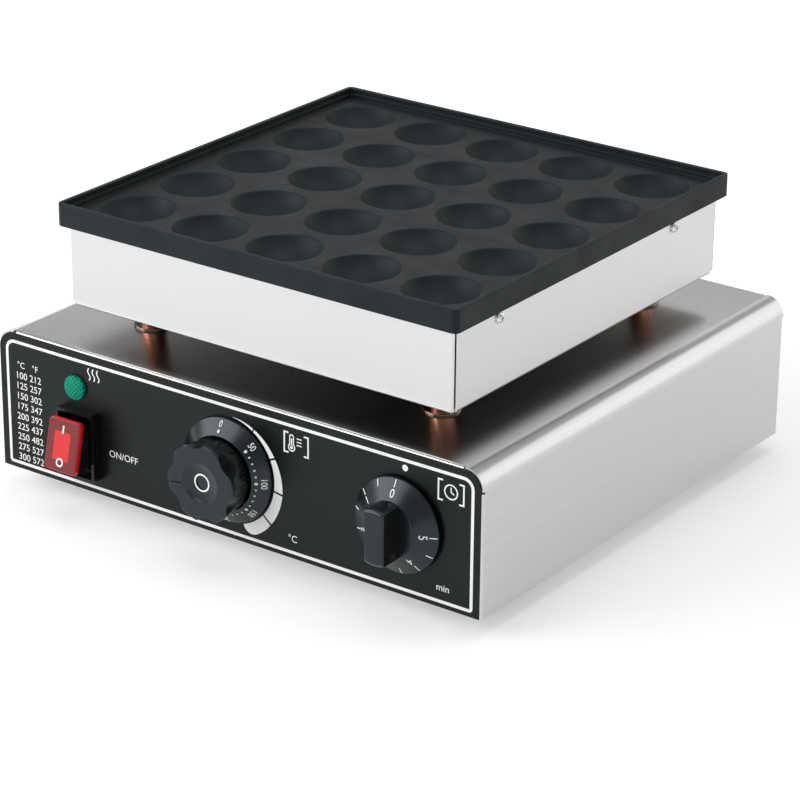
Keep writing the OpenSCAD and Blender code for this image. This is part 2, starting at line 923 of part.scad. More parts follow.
// Cast pan: stepped rim, dimpled plate, rib and bosses below
module baking_pan() {
    color([0.2, 0.21, 0.22])
        translate([0, mid_y, 0])
            difference() {
                union() {
                    translate([0, 0, box_top])
                        linear_extrude(rim_h)
                            round_rect(pan_w, pan_d, rim_r);
                    translate([-body_w/2, -body_d/2, rib_low])
                        cube([body_w, body_d, box_top - rib_low + 1]);
                }
                translate([0, 0, pan_top - ledge_drop])
                    linear_extrude(ledge_drop + 1)
                        round_rect(pan_w - 2*rim_top_w, pan_d - 2*rim_top_w, recess_r);
                translate([0, 0, cook_z])
                    linear_extrude(plate_drop)
                        round_rect(plate_w, plate_d, plate_r);
                for (p = dimples)
                    translate([p.x, p.y, cook_z - dimple_depth + dimple_ball])
                        sphere(dimple_ball);
                difference() {
                    translate([-body_w/2 + rib_w, -body_d/2 + rib_w, rib_low - 1])
                        cube([body_w - 2*rib_w, body_d - 2*rib_w, rib_h + 1]);
                    for (p = bosses)
                        translate([p.x, p.y, clamp_top])
                            cylinder(h = plate_low - clamp_top + 1, d = boss_d);
                }
                for (k = [-1, 1])
                    for (m = [0, 1])
                        mirror([m, 0, 0])
                            translate([body_w/2 + 1, k*screw_off - screw_ahead, box_top - screw_drop])
                                rotate([0, -90, 0])
                                    cylinder(h = screw_l, d = screw_d + 2*slip);
                for (p = bosses)
                    translate([p.x, p.y, rib_low - 5])
                        cylinder(h = plate_low - rib_low + 5, d = screw_d + 2*slip);
            }
}

module box_screws() {
    color("silver")
        for (k = [-1, 1])
            for (s = [-1, 1])
                translate([s*box_w/2, mid_y + k*screw_off - screw_ahead, box_top - screw_drop])
                    rotate([0, 90*s, 0])
                        pan_screw(screw_d, screw_head_d, screw_head_h, screw_l - 2*tip_gap);
}

// Sheathed element bent to and fro under the plate, with thin terminal pins
module heating_element() {
    color([0.35, 0.34, 0.33])
        translate([0, mid_y, element_z])
            for (i = [0:element_n - 1]) {
                y = (i - (element_n - 1)/2)*element_pitch;
                outer = i == 0 || i == element_n - 1;
                x0 = outer ? -element_run/2 - element_end : -element_run/2;
                translate([x0, y, 0])
                    rotate([0, 90, 0])
                        cylinder(h = element_run/2 - x0, d = element_d);
                if (outer)
                    translate([x0 - pin_l, y, 0])
                        rotate([0, 90, 0])
                            cylinder(h = pin_l + 1, d = pin_d);
                if (i < element_n - 1)
                    translate([i % 2 == 0 ? element_run/2 : -element_run/2, y + element_pitch/2, 0])
                        rotate([0, 0, i % 2 == 0 ? -90 : 90])
                            rotate_extrude(angle = 180)
                                translate([element_pitch/2, 0])
                                    circle(d = element_d);
            }
}

module element_clamps() {
    color("silver")
        translate([0, mid_y, clamp_top - clamp_t])
            for (s = [-1, 1])
                linear_extrude(clamp_t)
                    difference() {
                        translate([s*clamp_off, 0])
                            square([clamp_w, clamp_l], center = true);
                        for (k = [-1, 1])
                            translate([s*clamp_off, k*clamp_screw_y])
                                circle(d = screw_d + 2*slip);
                    }
}

module clamp_screws() {
    color("silver")
        for (p = bosses)
            translate([p.x, mid_y + p.y, clamp_top - clamp_t])
                rotate([180, 0, 0])
                    pan_screw(screw_d, screw_head_d, screw_head_h, screw_l);
}

// Box of a control behind the panel, with a blind bush for its shaft
module control_body(x, size) {
    difference() {
        translate([x - size.x/2, panel_back, dial_h - size.z/2])
            cube(size);
        translate([x, panel_back - 1, dial_h])
            rotate([-90, 0, 0])
                cylinder(h = shaft_depth + 1, d = shaft_d + 2*run_gap);
        for (s = [-1, 1])
            translate([x + s*dial_screw_x, panel_back - 1, dial_h])
                rotate([-90, 0, 0])
                    cylinder(h = screw_l + 1, d = screw_d + 2*slip);
    }
}

module control_screws(x, floor_h) {
    l = floor_h + panel_back - face_y + screw_l - 2*tip_gap;
    for (s = [-1, 1])
        on_panel(x + s*dial_screw_x, dial_h)
            translate([0, 0, floor_h])
                pan_screw(screw_d, screw_head_d, screw_head_h, l);
}

module control_shaft(x, reach) {
    back = panel_back - face_y + shaft_depth - tip_gap;
    on_panel(x, dial_h)
        translate([0, 0, -back])
            cylinder(h = back + reach, d = shaft_d);
}

module thermostat_body() {
    color("burlywood")
        control_body(0, thermostat_size);
}

module thermostat_screws() {
    color("silver")
        control_screws(0, ring_floor);
}

module thermostat_shaft() {
    color("silver")
        control_shaft(0, knob_reach - knob_roof - tip_gap);
}

// Bulb held under the clamp bars, and the capillary through a right post to the thermostat
module thermostat_probe() {
    p = posts[2];
    body_top = dial_h + thermostat_size.z/2;
    body_y = panel_back + thermostat_size.y/2;
    color([0.72, 0.45, 0.33]) {
        translate([-bulb_l/2, mid_y, element_z])
            rotate([0, 90, 0])
                cylinder(h = bulb_l, d = element_d);
        wire([
            [bulb_l/2 - lead_in/2, mid_y, element_z],
            [bulb_l/2 + 2*lead_in, mid_y, element_z - lead_in/2],
            [drop_x, mid_y - box_d/9, element_z - 2*lead_in],
            [drop_x, mid_y - box_d/4, cross_z],
            [p.x + lead_in/3, p.y + lead_in, cross_z],
            [p.x, p.y, tube_high - 1],
            [p.x, p.y, base_top],
            [p.x, p.y, tube_low - lead_in/4],
            [p.x - lead_in/4, p.y, tube_low - 1.5*lead_in],
            [p.x - 4*lead_in, (p.y + body_y)/2, body_top + lead_in],
            [thermostat_size.x/4, body_y, body_top + 1.5*lead_in],
            [0, body_y, body_top + lead_in/2],
            [0, body_y, body_top + touch]
        ], capillary_d);
    }
}

// Fixed ring for the temperature scale: a cone on a thin floor
module dial_ring() {
    bore = knob_back_d/2 + knob_clear;
    color([0.2, 0.2, 0.21])
        on_panel(0, dial_h)
            difference() {
                rotate_extrude()
                    polygon([
                        [shaft_hole_d/2, 0], [ring_d/2, 0], [ring_d/2, ring_low],
                        [bore + ring_lip, ring_high], [bore, ring_high], [bore, ring_floor],
                        [shaft_hole_d/2, ring_floor]
                    ]);
                for (s = [-1, 1])
                    translate([s*dial_screw_x, 0, -1])
                        cylinder(h = ring_floor + 2, d = screw_d + 2*slip);
            }
}

// Knob with scalloped sides, a dished front, a pointer groove and a hollow back
module temperature_knob() {
    edge = 1.2;
    cap_z = knob_reach - dish_depth - cap_t;
    ball = (pow(dish_d/2, 2) + pow(dish_depth, 2))/(2*dish_depth);
    color([0.24, 0.24, 0.25])
        on_panel(0, dial_h)
            rotate([0, 0, -pointer_angle])
                difference() {
                    rotate_extrude()
                        polygon([
                            [0, knob_low], [knob_back_d/2, knob_low], [knob_back_d/2, ring_high],
                            [knob_front_d/2, knob_reach - edge], [knob_front_d/2 - edge, knob_reach],
                            [0, knob_reach]
                        ]);
                    for (k = [0:scallop_n - 1])
                        rotate([0, 0, (k + 0.5)*360/scallop_n])
                            translate([0, knob_front_d/2 - scallop_depth + scallop_r, ring_high + 1])
                                cylinder(h = knob_reach, r = scallop_r);
                    translate([0, 0, knob_reach + ball - dish_depth])
                        sphere(ball);
                    translate([0, 0, cap_z])
                        cylinder(h = knob_reach, d = cap_d + 2*slip);
                    translate([-groove_w/2, dish_d/2 + 1, knob_reach - groove_depth])
                        cube([groove_w, knob_front_d, knob_reach]);
                    difference() {
                        translate([0, 0, knob_low - 1])
                            cylinder(h = knob_reach - knob_roof - knob_low + 1,
                                d = knob_back_d - 2*knob_wall);
                        cylinder(h = knob_reach, d = knob_hub_d);
                    }
                    translate([0, 0, knob_low - 1])
                        cylinder(h = knob_reach - knob_roof - knob_low + 1, d = shaft_d + 2*slip);
                }
}

// Cap in the middle of the knob's dish, with a raised ring
module knob_cap() {
    cap_z = knob_reach - dish_depth - cap_t;
    color("gainsboro")
        on_panel(0, dial_h)
            translate([0, 0, cap_z])
                rotate_extrude()
                    polygon([
                        [0, 0], [cap_d/2, 0], [cap_d/2, cap_t + cap_rise],
                        [cap_d/2 - cap_lip, cap_t + cap_rise], [cap_d/2 - cap_lip, cap_t], [0, cap_t]
                    ]);
}

module timer_body() {
    color("burlywood")
        control_body(timer_x, timer_size);
}

module timer_screws() {
    color("silver")
        control_screws(timer_x, 0);
}

module timer_shaft() {
    color("silver")
        control_shaft(timer_x, grip_reach - knob_roof - tip_gap);
}

// Knob with a conical skirt and a hub cut away to a bar grip
module timer_knob() {
    edge = 1;
    cavity = skirt_low + skirt_hollow;
    color([0.24, 0.24, 0.25])
        on_panel(timer_x, dial_h)
            difference() {
                union() {
                    rotate_extrude()
                        polygon([
                            [0, skirt_clear], [skirt_d/2, skirt_clear], [skirt_d/2, skirt_low],
                            [hub_d/2, skirt_high], [0, skirt_high]
                        ]);
                    intersection() {
                        rotate_extrude()
                            polygon([
                                [0, skirt_low], [hub_d/2, skirt_low], [hub_d/2, grip_reach - edge],
                                [hub_d/2 - edge, grip_reach], [0, grip_reach]
                            ]);
                        union() {
                            translate([-grip_w/2, -hub_d, 0])
                                cube([grip_w, 2*hub_d, grip_reach + 1]);
                            cylinder(h = skirt_high + hub_rise, d = hub_d);
                        }
                    }
                }
                difference() {
                    cylinder(h = cavity, d = skirt_d - 2*skirt_wall);
                    cylinder(h = cavity + 1, d = knob_hub_d);
                }
                translate([0, 0, -1])
                    cylinder(h = grip_reach - knob_roof + 1, d = shaft_d + 2*slip);
            }
}

// Switch housing: a raised bezel, a body through the panel and pivot holes
module switch_housing() {
    well_w = cutout_w - 2*well_wall;
    well_h = cutout_h - 2*well_end;
    color([0.1, 0.1, 0.11])
        on_panel(switch_x, switch_h)
            difference() {
                union() {
                    linear_extrude(bezel_reach)
                        round_rect(bezel_w, bezel_h, bezel_r);
                    translate([-cutout_w/2, -cutout_h/2, -switch_depth])
                        cube([cutout_w, cutout_h, switch_depth + 1]);
                }
                linear_extrude(bezel_reach + 1)
                    round_rect(bezel_w - 2*bezel_wall, bezel_h - 2*bezel_wall, bezel_r - 1);
                translate([-well_w/2, -well_h/2, -well_depth])
                    cube([well_w, well_h, well_depth + 1]);
                translate([-bezel_w/2 + pin_cover, 0, pivot_reach])
                    rotate([0, 90, 0])
                        cylinder(h = bezel_w - 2*pin_cover, d = pivot_d + 2*run_gap);
            }
}

module switch_terminals() {
    color("goldenrod")
        for (sx = [-1, 1])
            for (sz = [-1, 1])
                translate([switch_x + sx*terminal_off.x, face_y + switch_depth, switch_h])
                    translate([-terminal_size.x/2, 0, sz*terminal_off.y - terminal_size.z/2])
                        cube(terminal_size);
}

// The rocker's own axes about its pivot, with its upper end pressed in
module on_rocker() {
    translate([switch_x, pivot_y, switch_h])
        rotate([-rocker_tilt, 0, 0])
            children();
}

// Rocker under its cap: tapered to the back, with two stub pins
module rocker_body() {
    pin_span = bezel_w - 2*bezel_wall + 2*pin_grip;
    front = rocker_plate - rocker_reach;
    front_h = rocker_h - 4*rocker_lip;
    color([0.1, 0.1, 0.11])
        on_rocker() {
            along_x(rocker_body_w)
                polygon([
                    [front, -front_h/2], [front, front_h/2],
                    [rocker_back, rocker_back_h/2], [rocker_back, -rocker_back_h/2]
                ]);
            translate([-pin_span/2, 0, 0])
                rotate([0, 90, 0])
                    cylinder(h = pin_span, d = pivot_d);
        }
}

// Red cap on the rocker, a plate with round corners
module rocker_cap() {
    color([0.75, 0.12, 0.13])
        on_rocker()
            facing(rocker_plate - rocker_reach, rocker_plate)
                round_rect(rocker_w, rocker_h, rocker_r);
}

module lamp_lens() {
    color([0.1, 0.6, 0.42])
        on_panel(lamp_x, lamp_h)
            intersection() {
                cylinder(h = lens_h, d = lens_d);
                translate([0, 0, lens_h - lens_ball])
                    sphere(lens_ball);
            }
}

module lamp_holder() {
    color([0.85, 0.85, 0.82])
        on_panel(lamp_x, lamp_h)
            translate([0, 0, -holder_depth])
                cylinder(h = holder_depth, d = holder_d);
}

module lamp_nut() {
    color("silver")
        translate([lamp_x, panel_back, lamp_h])
            rotate([-90, 0, 0])
                hex_nut(lamp_nut_flats, lamp_nut_h, holder_d + 2*slip);
}

// Terminal block with open clamp holes and a foot at each side
module terminal_block() {
    color([0.9, 0.9, 0.86])
        translate([block_x, block_y, stand_h])
            difference() {
                union() {
                    translate([-block_size.x/2, -block_size.y/2, 0])
                        cube(block_size);
                    translate([-block_foot.x/2, -block_size.y/2 - block_foot.y, 0])
                        cube([block_foot.x, block_size.y + 2*block_foot.y, block_foot.z]);
                }
                for (k = [0:pole_n - 1])
                    translate([(k - (pole_n - 1)/2)*pole_pitch, -block_size.y, pole_up])
                        rotate([-90, 0, 0])
                            cylinder(h = 2*block_size.y, d = clamp_hole);
                for (k = [-1, 1])
                    translate([0, k*block_screw_y, -1])
                        cylinder(h = block_foot.z + 2, d = small_screw_d + 2*slip);
            }
}

module terminal_screws() {
    color("silver")
        for (k = [-1, 1])
            translate([block_x, block_y + k*block_screw_y, stand_h + block_foot.z])
                pan_screw(small_screw_d, small_head_d, small_head_h, block_foot.z + 3*sheet_t);
}

// Earth stud through the bottom plate, with its nut
module earth_stud() {
    color("goldenrod")
        translate([stud_x, stud_y, stand_h]) {
            translate([0, 0, -sheet_t])
                cylinder(h = stud_l + sheet_t, d = stud_d);
            cylinder(h = stud_nut_h, d = stud_nut_flats/cos(30), $fn = 6);
        }
}

// Wires between the controls, the terminal block and the element's two pins
module wiring() {
    pole_z = stand_h + pole_up;
    front_pole = block_y - block_size.y/2;
    switch_back = face_y + switch_depth + terminal_size.y;
    timer_back = panel_back + timer_size.y;
    thermostat_back = panel_back + thermostat_size.y;
    front = posts[0];
    rear = posts[1];
    color([0.55, 0.3, 0.2]) {
        wire([
            [block_x - pole_pitch, front_pole - touch, pole_z],
            [block_x - pole_pitch, front_pole - 2*lead_in, pole_z],
            [switch_x/2, mid_y, stand_h + 2*lead_in],
            [switch_x + 2*lead_in, switch_back + 6*lead_in, stand_h + 3*lead_in],
            [switch_x + terminal_off.x, switch_back + 2*lead_in, switch_h - terminal_off.y],
            [switch_x + terminal_off.x, switch_back + touch, switch_h - terminal_off.y]
        ], wire_d);
        wire([
            [block_x, front_pole - touch, pole_z],
            [block_x, front_pole - 2*lead_in, pole_z],
            [switch_x*0.6, mid_y + lead_in, stand_h + 4*lead_in],
            [switch_x - terminal_off.x, switch_back + 6*lead_in, stand_h + 4*lead_in],
            [switch_x - terminal_off.x, switch_back + 2*lead_in, switch_h + terminal_off.y],
            [switch_x - terminal_off.x, switch_back + touch, switch_h + terminal_off.y]
        ], wire_d);
        wire([
            [block_x + pole_pitch, front_pole - touch, pole_z],
            [block_x + pole_pitch, front_pole - 2*lead_in, pole_z],
            [timer_x - lead_in, mid_y - lead_in, stand_h + 4*lead_in],
            [timer_x + timer_size.x/4, timer_back + 4*lead_in, dial_h],
            [timer_x + timer_size.x/4, timer_back + touch, dial_h]
        ], wire_d);
        wire([
            [timer_x - timer_size.x/4, timer_back + touch, dial_h - lead_in],
            [timer_x - timer_size.x/4, timer_back + 2*lead_in, dial_h - lead_in],
            [timer_x/2, timer_back + 3*lead_in, dial_h - 2*lead_in],
            [thermostat_size.x/4, thermostat_back + 2*lead_in, dial_h - lead_in],
            [thermostat_size.x/4, thermostat_back + touch, dial_h - lead_in]
        ], wire_d);
        wire([
            [-thermostat_size.x/4, thermostat_back + touch, dial_h + lead_in],
            [-thermostat_size.x/4, thermostat_back + 2*lead_in, dial_h + lead_in],
            [front.x/2, front.y + lead_in, dial_h + 2*lead_in],
            [front.x + lead_in/4, front.y, tube_low - 1.5*lead_in],
            [front.x, front.y, tube_low - lead_in/4],
            [front.x, front.y, base_top],
            [front.x, front.y, tube_high - 1],
            [front.x - lead_in, front.y + lead_in/4, cross_z],
            [-drop_x, (front.y + mid_y - pin_y)/2, cross_z],
            [-drop_x, mid_y - pin_y, element_z - 2*lead_in],
            [pin_x - lead_in/2, mid_y - pin_y, element_z],
            [pin_x - touch, mid_y - pin_y, element_z]
        ], wire_d);
        wire([
            [switch_x + terminal_off.x, switch_back + touch, switch_h + terminal_off.y],
            [switch_x + terminal_off.x, switch_back + 2*lead_in, switch_h + terminal_off.y],
            [switch_x + 2*lead_in, mid_y - 4*lead_in, panel_mid + 2*lead_in],
            [rear.x - lead_in/2, rear.y - 3*lead_in, panel_mid + 2*lead_in],
            [rear.x, rear.y - lead_in/4, tube_low - 1.5*lead_in],
            [rear.x, rear.y, tube_low - lead_in/4],
            [rear.x, rear.y, base_top],
            [rear.x, rear.y, tube_high - 1],
            [rear.x - lead_in, rear.y, cross_z],
            [-drop_x, (rear.y + mid_y + pin_y)/2, cross_z],
            [-drop_x, mid_y + pin_y, element_z - 2*lead_in],
            [pin_x - lead_in/2, mid_y + pin_y, element_z],
            [pin_x - touch, mid_y + pin_y, element_z]
        ], wire_d);
    }
}

base_wrap();
front_panel();
panel_overlay();
rear_panel();
rear_screws();
bottom_plate();
bottom_screws();
feet();
foot_screws();
foot_nuts();
cord_gland();
gland_nut();
post_tubes();
post_sleeves();
post_collars();
post_nuts();
heater_box();
heat_shield();
baking_pan();
box_screws();
heating_element();
element_clamps();
clamp_screws();
thermostat_body();
thermostat_screws();
thermostat_shaft();
thermostat_probe();
dial_ring();
temperature_knob();
knob_cap();
timer_body();
timer_screws();
timer_shaft();
timer_knob();
switch_housing();
switch_terminals();
rocker_body();
rocker_cap();
lamp_lens();
lamp_holder();
lamp_nut();
terminal_block();
terminal_screws();
earth_stud();
wiring();
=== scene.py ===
"""Looks of a countertop mini pancake maker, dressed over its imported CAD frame.

Lengths are in metres, in the frame's axes: the control panel faces -Y and +Z is up.
The pieces' named angles are in degrees, and those on a dial run clockwise from 12 o'clock,
seen from the front.
"""

import json
import math

import bmesh
import bpy
import numpy as np
from mathutils import Matrix, Vector


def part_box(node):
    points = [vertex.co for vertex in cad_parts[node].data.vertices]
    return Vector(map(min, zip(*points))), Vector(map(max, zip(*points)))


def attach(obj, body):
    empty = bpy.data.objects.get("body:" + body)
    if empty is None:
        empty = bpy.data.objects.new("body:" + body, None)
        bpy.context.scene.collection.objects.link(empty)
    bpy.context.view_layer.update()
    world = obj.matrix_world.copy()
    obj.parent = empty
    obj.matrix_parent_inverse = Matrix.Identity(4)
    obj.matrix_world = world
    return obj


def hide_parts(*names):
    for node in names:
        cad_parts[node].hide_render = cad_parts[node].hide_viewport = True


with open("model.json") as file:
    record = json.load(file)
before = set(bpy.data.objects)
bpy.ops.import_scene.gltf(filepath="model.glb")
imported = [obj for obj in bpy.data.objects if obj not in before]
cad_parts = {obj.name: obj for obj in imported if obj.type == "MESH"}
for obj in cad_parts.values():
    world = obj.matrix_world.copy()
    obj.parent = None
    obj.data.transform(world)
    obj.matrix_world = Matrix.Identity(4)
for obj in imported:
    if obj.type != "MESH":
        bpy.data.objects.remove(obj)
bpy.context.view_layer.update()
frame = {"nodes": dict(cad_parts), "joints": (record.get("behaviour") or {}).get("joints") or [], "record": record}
MM = 0.001


def middle(node):
    """Middle of a CAD node's box: the mean of its two corners."""
    low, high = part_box(node)
    return (low + high) / 2


def half_wide(node):
    """Half of a CAD node's width along x."""
    low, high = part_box(node)
    return (high.x - low.x) / 2


# Places that the frame gives

base_low, base_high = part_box("base_wrap")
pan_low, pan_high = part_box("baking_pan")
face_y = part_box("panel_overlay")[0].y
base_z = base_low.z
mid_y = (base_low.y + base_high.y) / 2
dial_at = middle("dial_ring")
timer_at = middle("timer_shaft")
lamp_at = middle("lamp_lens")
joint_at = {joint["name"]: joint["pos_m"] for joint in frame["joints"]}


# Meshes from arrays: points nearer than MERGE become one, and a row smaller than SPECK is a point

MERGE = 1e-7
SPECK = 1e-6


def piece(name, points, faces, material, body, slot, crease):
    """A closed mesh from points and faces: doubles are merged, normals turned outwards, edges
    sharper than crease degrees stay sharp, and wide faces keep their own direction."""
    mesh = bpy.data.meshes.new(name)
    mesh.from_pydata(points.tolist(), [], faces)
    work = bmesh.new()
    work.from_mesh(mesh)
    bmesh.ops.remove_doubles(work, verts=work.verts, dist=MERGE)
    bmesh.ops.recalc_face_normals(work, faces=work.faces)
    work.to_mesh(mesh)
    work.free()
    mesh.polygons.foreach_set("use_smooth", np.ones(len(mesh.polygons), bool))
    mesh.set_sharp_from_angle(angle=math.radians(crease))
    mesh.materials.append(material)
    obj = bpy.data.objects.new(name, mesh)
    bpy.context.scene.collection.objects.link(obj)
    obj.modifiers.new("normals", "WEIGHTED_NORMAL").keep_sharp = True
    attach(obj, body)
    return obj


def grid_faces(rows, cols):
    """Quads of a grid of closed rows: the last of each row's cols points joins its first."""
    i = np.arange(rows - 1)[:, None] * cols
    j = np.arange(cols)[None, :]
    k = (j + 1) % cols
    return np.stack([i + j, i + k, i + cols + k, i + cols + j], -1).reshape(-1, 4).tolist()


def join(parts):
    """One list of points and one of faces from several (points, faces)."""
    points, faces, start = [], [], 0
    for p, f in parts:
        points.append(p)
        faces.extend([[v + start for v in face] for face in f])
        start += len(p)
    return np.concatenate(points), faces


def stack(rows, ends=(0, -1)):
    """Points and faces of a shell whose closed rows, arrays of (n, 3), follow one another; the rows
    that ends names are closed by one face each unless they shrink to a point."""
    rows = np.asarray(rows, float)
    count, cols = rows.shape[:2]
    order = np.arange(count * cols).reshape(count, cols)
    faces = grid_faces(count, cols)
    for k in ends:
        if np.ptp(rows[k], axis=0).max() > SPECK:
            faces.append(order[k].tolist())
    return rows.reshape(-1, 3), faces


def level(ring, z):
    """A flat ring of points at height z."""
    return np.column_stack([ring, np.full(len(ring), z)])


def on_panel(x, z, s):
    """Points at x and z that stand s off the panel's face."""
    x, z, s = np.broadcast_arrays(x, z, s)
    return np.stack([x, face_y - s, z], -1)


def full_turn(steps):
    """Angles of a full turn in equal steps."""
    return np.linspace(0, 2 * math.pi, steps, endpoint=False)


def rays(angle):
    """Unit directions at angles clockwise from 12 o'clock: sine to the right, cosine upwards."""
    return np.stack([np.sin(angle), np.cos(angle)], 1)


def turned(at, radius, angle, s):
    """Points of a turned piece: radius and angle round its axis, s off the panel."""
    return on_panel(at.x + radius * np.sin(angle), at.z + radius * np.cos(angle), s)


def arc(centre, radius, start, end, steps):
    """Points of a circle's arc from start to end degrees, anticlockwise from +x."""
    a = np.radians(np.linspace(start, end, steps))
    return np.stack([centre[0] + radius * np.cos(a), centre[1] + radius * np.sin(a)], 1)


def circle(centre, radius, steps):
    """Points of a full circle: an arc of 360 degrees without its last point."""
    return arc(centre, radius, 0, 360, steps + 1)[:-1]


def rounded_rect(half_w, half_h, corner, steps):
    """Rectangle with arc corners as (4 * steps, 2) points: each corner arc has steps points."""
    w, h = half_w - corner, half_h - corner
    centres = ((w, h), (-w, h), (-w, -h), (w, -h))
    return np.concatenate([arc(at, corner, 90 * k, 90 * k + 90, steps) for k, at in enumerate(centres)])


# Printing: flat marks PRINT thick, drawn in u to the right, v upwards and w off the surface

PRINT = 0.08 * MM
CAPITALS = 0.69  # height of the font's capitals at size 1
MITRE = 0.3  # least cosine by which a stroke is lengthened at its corners


def band(left, right, closed=False):
    """A flat strip between two lines of points, as a slab: rows of four corners along the lines.
    A closed strip ends at its first row again; an open one gets a face at each end."""
    if closed:
        left, right = (np.concatenate([side, side[:1]]) for side in (left, right))
    corners = ((left, 0), (right, 0), (right, PRINT), (left, PRINT))
    return stack(np.stack([level(side, w) for side, w in corners], 1), () if closed else (0, -1))


def square_to(direction):
    """Directions turned by a quarter to the left."""
    return np.stack([-direction[:, 1], direction[:, 0]], 1)


def line(path, width, closed=False):
    """A stroke along a path: at each point half the width goes to each side of the mean direction,
    lengthened at corners so that the stroke keeps its width."""
    path = np.asarray(path, float)
    ahead = np.roll(path, -1, 0) - path
    if not closed:
        ahead[-1] = ahead[-2]
    ahead /= np.linalg.norm(ahead, axis=1)[:, None]
    behind = np.roll(ahead, 1, 0)
    if not closed:
        behind[0] = ahead[0]
    side = square_to(ahead + behind)
    side /= np.linalg.norm(side, axis=1)[:, None]
    side *= (width / 2 / np.clip((side * square_to(ahead)).sum(1), MITRE, 1))[:, None]
    return band(path + side, path - side, closed)


def disc(centre, radius, steps=28):
    """A round dot as a slab: one ring of points below and one above, each closed by a face."""
    ring = circle(centre, radius, steps)
    return stack([level(ring, 0), level(ring, PRINT)])


def letters(text, height):
    """Figures and letters as slabs, centred, with capitals of that height."""
    curve = bpy.data.curves.new("letters", "FONT")
    curve.body = text
    curve.size = height / CAPITALS
    curve.align_x, curve.align_y = "CENTER", "CENTER"
    curve.extrude = PRINT / 2
    curve.resolution_u = 4
    holder = bpy.data.objects.new("letters", curve)
    bpy.context.scene.collection.objects.link(holder)
    shaped = holder.evaluated_get(bpy.context.evaluated_depsgraph_get())
    made = bpy.data.meshes.new_from_object(shaped)
    points = np.empty(len(made.vertices) * 3)
    made.vertices.foreach_get("co", points)
    points = points.reshape(-1, 3) + (0, 0, PRINT / 2)
    faces = [list(p.vertices) for p in made.polygons]
    bpy.data.objects.remove(holder)
    bpy.data.curves.remove(curve)
    bpy.data.meshes.remove(made)
    return points, faces


def moved(mark, u, v, turn=0.0):
    """A mark turned clockwise by turn degrees, then shifted by u and v."""
    points, faces = mark
    a = math.radians(turn)
    x, y = points[:, 0], points[:, 1]
    return np.column_stack([x * math.cos(a) + y * math.sin(a) + u,
                            y * math.cos(a) - x * math.sin(a) + v, points[:, 2]]), faces


def around(mark, radius, angle):
    """A mark at a radius and angle of a dial, its top outwards."""
    a = math.radians(angle)
    return moved(mark, radius * math.sin(a), radius * math.cos(a), angle)


def on_cone(at, height, lift):
    """The place of marks on a dial: lift above the height that its cone has at their radius."""
    def place(u, v, w):
        """Points of the frame for marks drawn from the dial's middle."""
        return on_panel(at.x + u, at.z + v, height(np.hypot(u, v)) + w + lift)
    return place


def printed(name, marks, place, body, slot):
    """Marks joined into one white piece; place turns (u, v, w) arrays into points of the frame."""
    points, faces = join(marks)
    piece(name, place(*points.T), faces, INK, body, slot, 30)


# Finishes

NOISE_LOW, NOISE_HIGH = 0.3, 0.7  # most values of a noise lie between these
MOTTLE_LOW, MOTTLE_HIGH = 0.35, 0.65
HATCH_LOW, HATCH_HIGH = 0.75, 0.97
ONE_WAVE = math.pi / 10  # scale of the wave texture with one wave to the metre
FINE, LONG = 1400, 4  # streaks of brushed steel to the metre, across and along
COOL = (0.84, 0.94, 1.0)


def finish(name, colour, roughness, metallic=0.0, **sockets):
    """A material with a Principled shader; sockets are set by name, with _ for a space."""
    made = bpy.data.materials.new(name)
    made.use_nodes = True
    shader = made.node_tree.nodes["Principled BSDF"]
    shader.inputs["Base Color"].default_value = (*colour, 1)
    shader.inputs["Roughness"].default_value = roughness
    shader.inputs["Metallic"].default_value = metallic
    for key, value in sockets.items():
        shader.inputs[key.replace("_", " ")].default_value = value
    return made


def add(made, kind, links=(), **settings):
    """A node in the material: settings are properties or input values; links are
    (input's name or number, other node, its output's name)."""
    node = made.node_tree.nodes.new(kind)
    for key, value in settings.items():
        if hasattr(node, key):
            setattr(node, key, value)
        else:
            node.inputs[key.replace("_", " ")].default_value = value
    for key, other, output in links:
        made.node_tree.links.new(other.outputs[output], node.inputs[key])
    return node


def plug(made, socket, node, output):
    """Links a node's output to the material's shader."""
    shader = made.node_tree.nodes["Principled BSDF"]
    made.node_tree.links.new(node.outputs[output], shader.inputs[socket])


def grain(made, scale, detail=2.0, stretch=(1, 1, 1)):
    """Noise on Object coordinates, stretched by different scales along the axes."""
    where = add(made, "ShaderNodeTexCoord")
    mapping = add(made, "ShaderNodeMapping", [("Vector", where, "Object")])
    mapping.inputs["Scale"].default_value = stretch
    return add(made, "ShaderNodeTexNoise", [("Vector", mapping, "Vector")], Scale=scale, Detail=detail)


def uneven_gloss(made, noise, roughness, least, most):
    """Roughness that varies with the noise between the shares least and most of its value."""
    share = add(made, "ShaderNodeMapRange", [("Value", noise, "Fac")], From_Min=NOISE_LOW,
                From_Max=NOISE_HIGH, To_Min=roughness * least, To_Max=roughness * most)
    plug(made, "Roughness", share, "Result")


def bump(made, noise, strength, distance):
    """Bump from noise, plugged into the shader."""
    node = add(made, "ShaderNodeBump", [("Height", noise, "Fac")], Strength=strength, Distance=distance)
    plug(made, "Normal", node, "Normal")


def tone(made, node, output, stops):
    """Base colour that runs with a node's output between two stops, each (value, colour)."""
    ramp = add(made, "ShaderNodeValToRGB", [("Fac", node, output)])
    for element, (value, colour) in zip(ramp.color_ramp.elements, stops):
        element.position = value
        element.color = (*colour, 1)
    plug(made, "Base Color", ramp, "Color")


def mottle(made, noise, colour, amount):
    """Base colour that varies with the noise by amount to each side."""
    dark, light = ([c * k for c in colour] for k in (1 - amount, 1 + amount))
    tone(made, noise, "Fac", ((MOTTLE_LOW, dark), (MOTTLE_HIGH, light)))


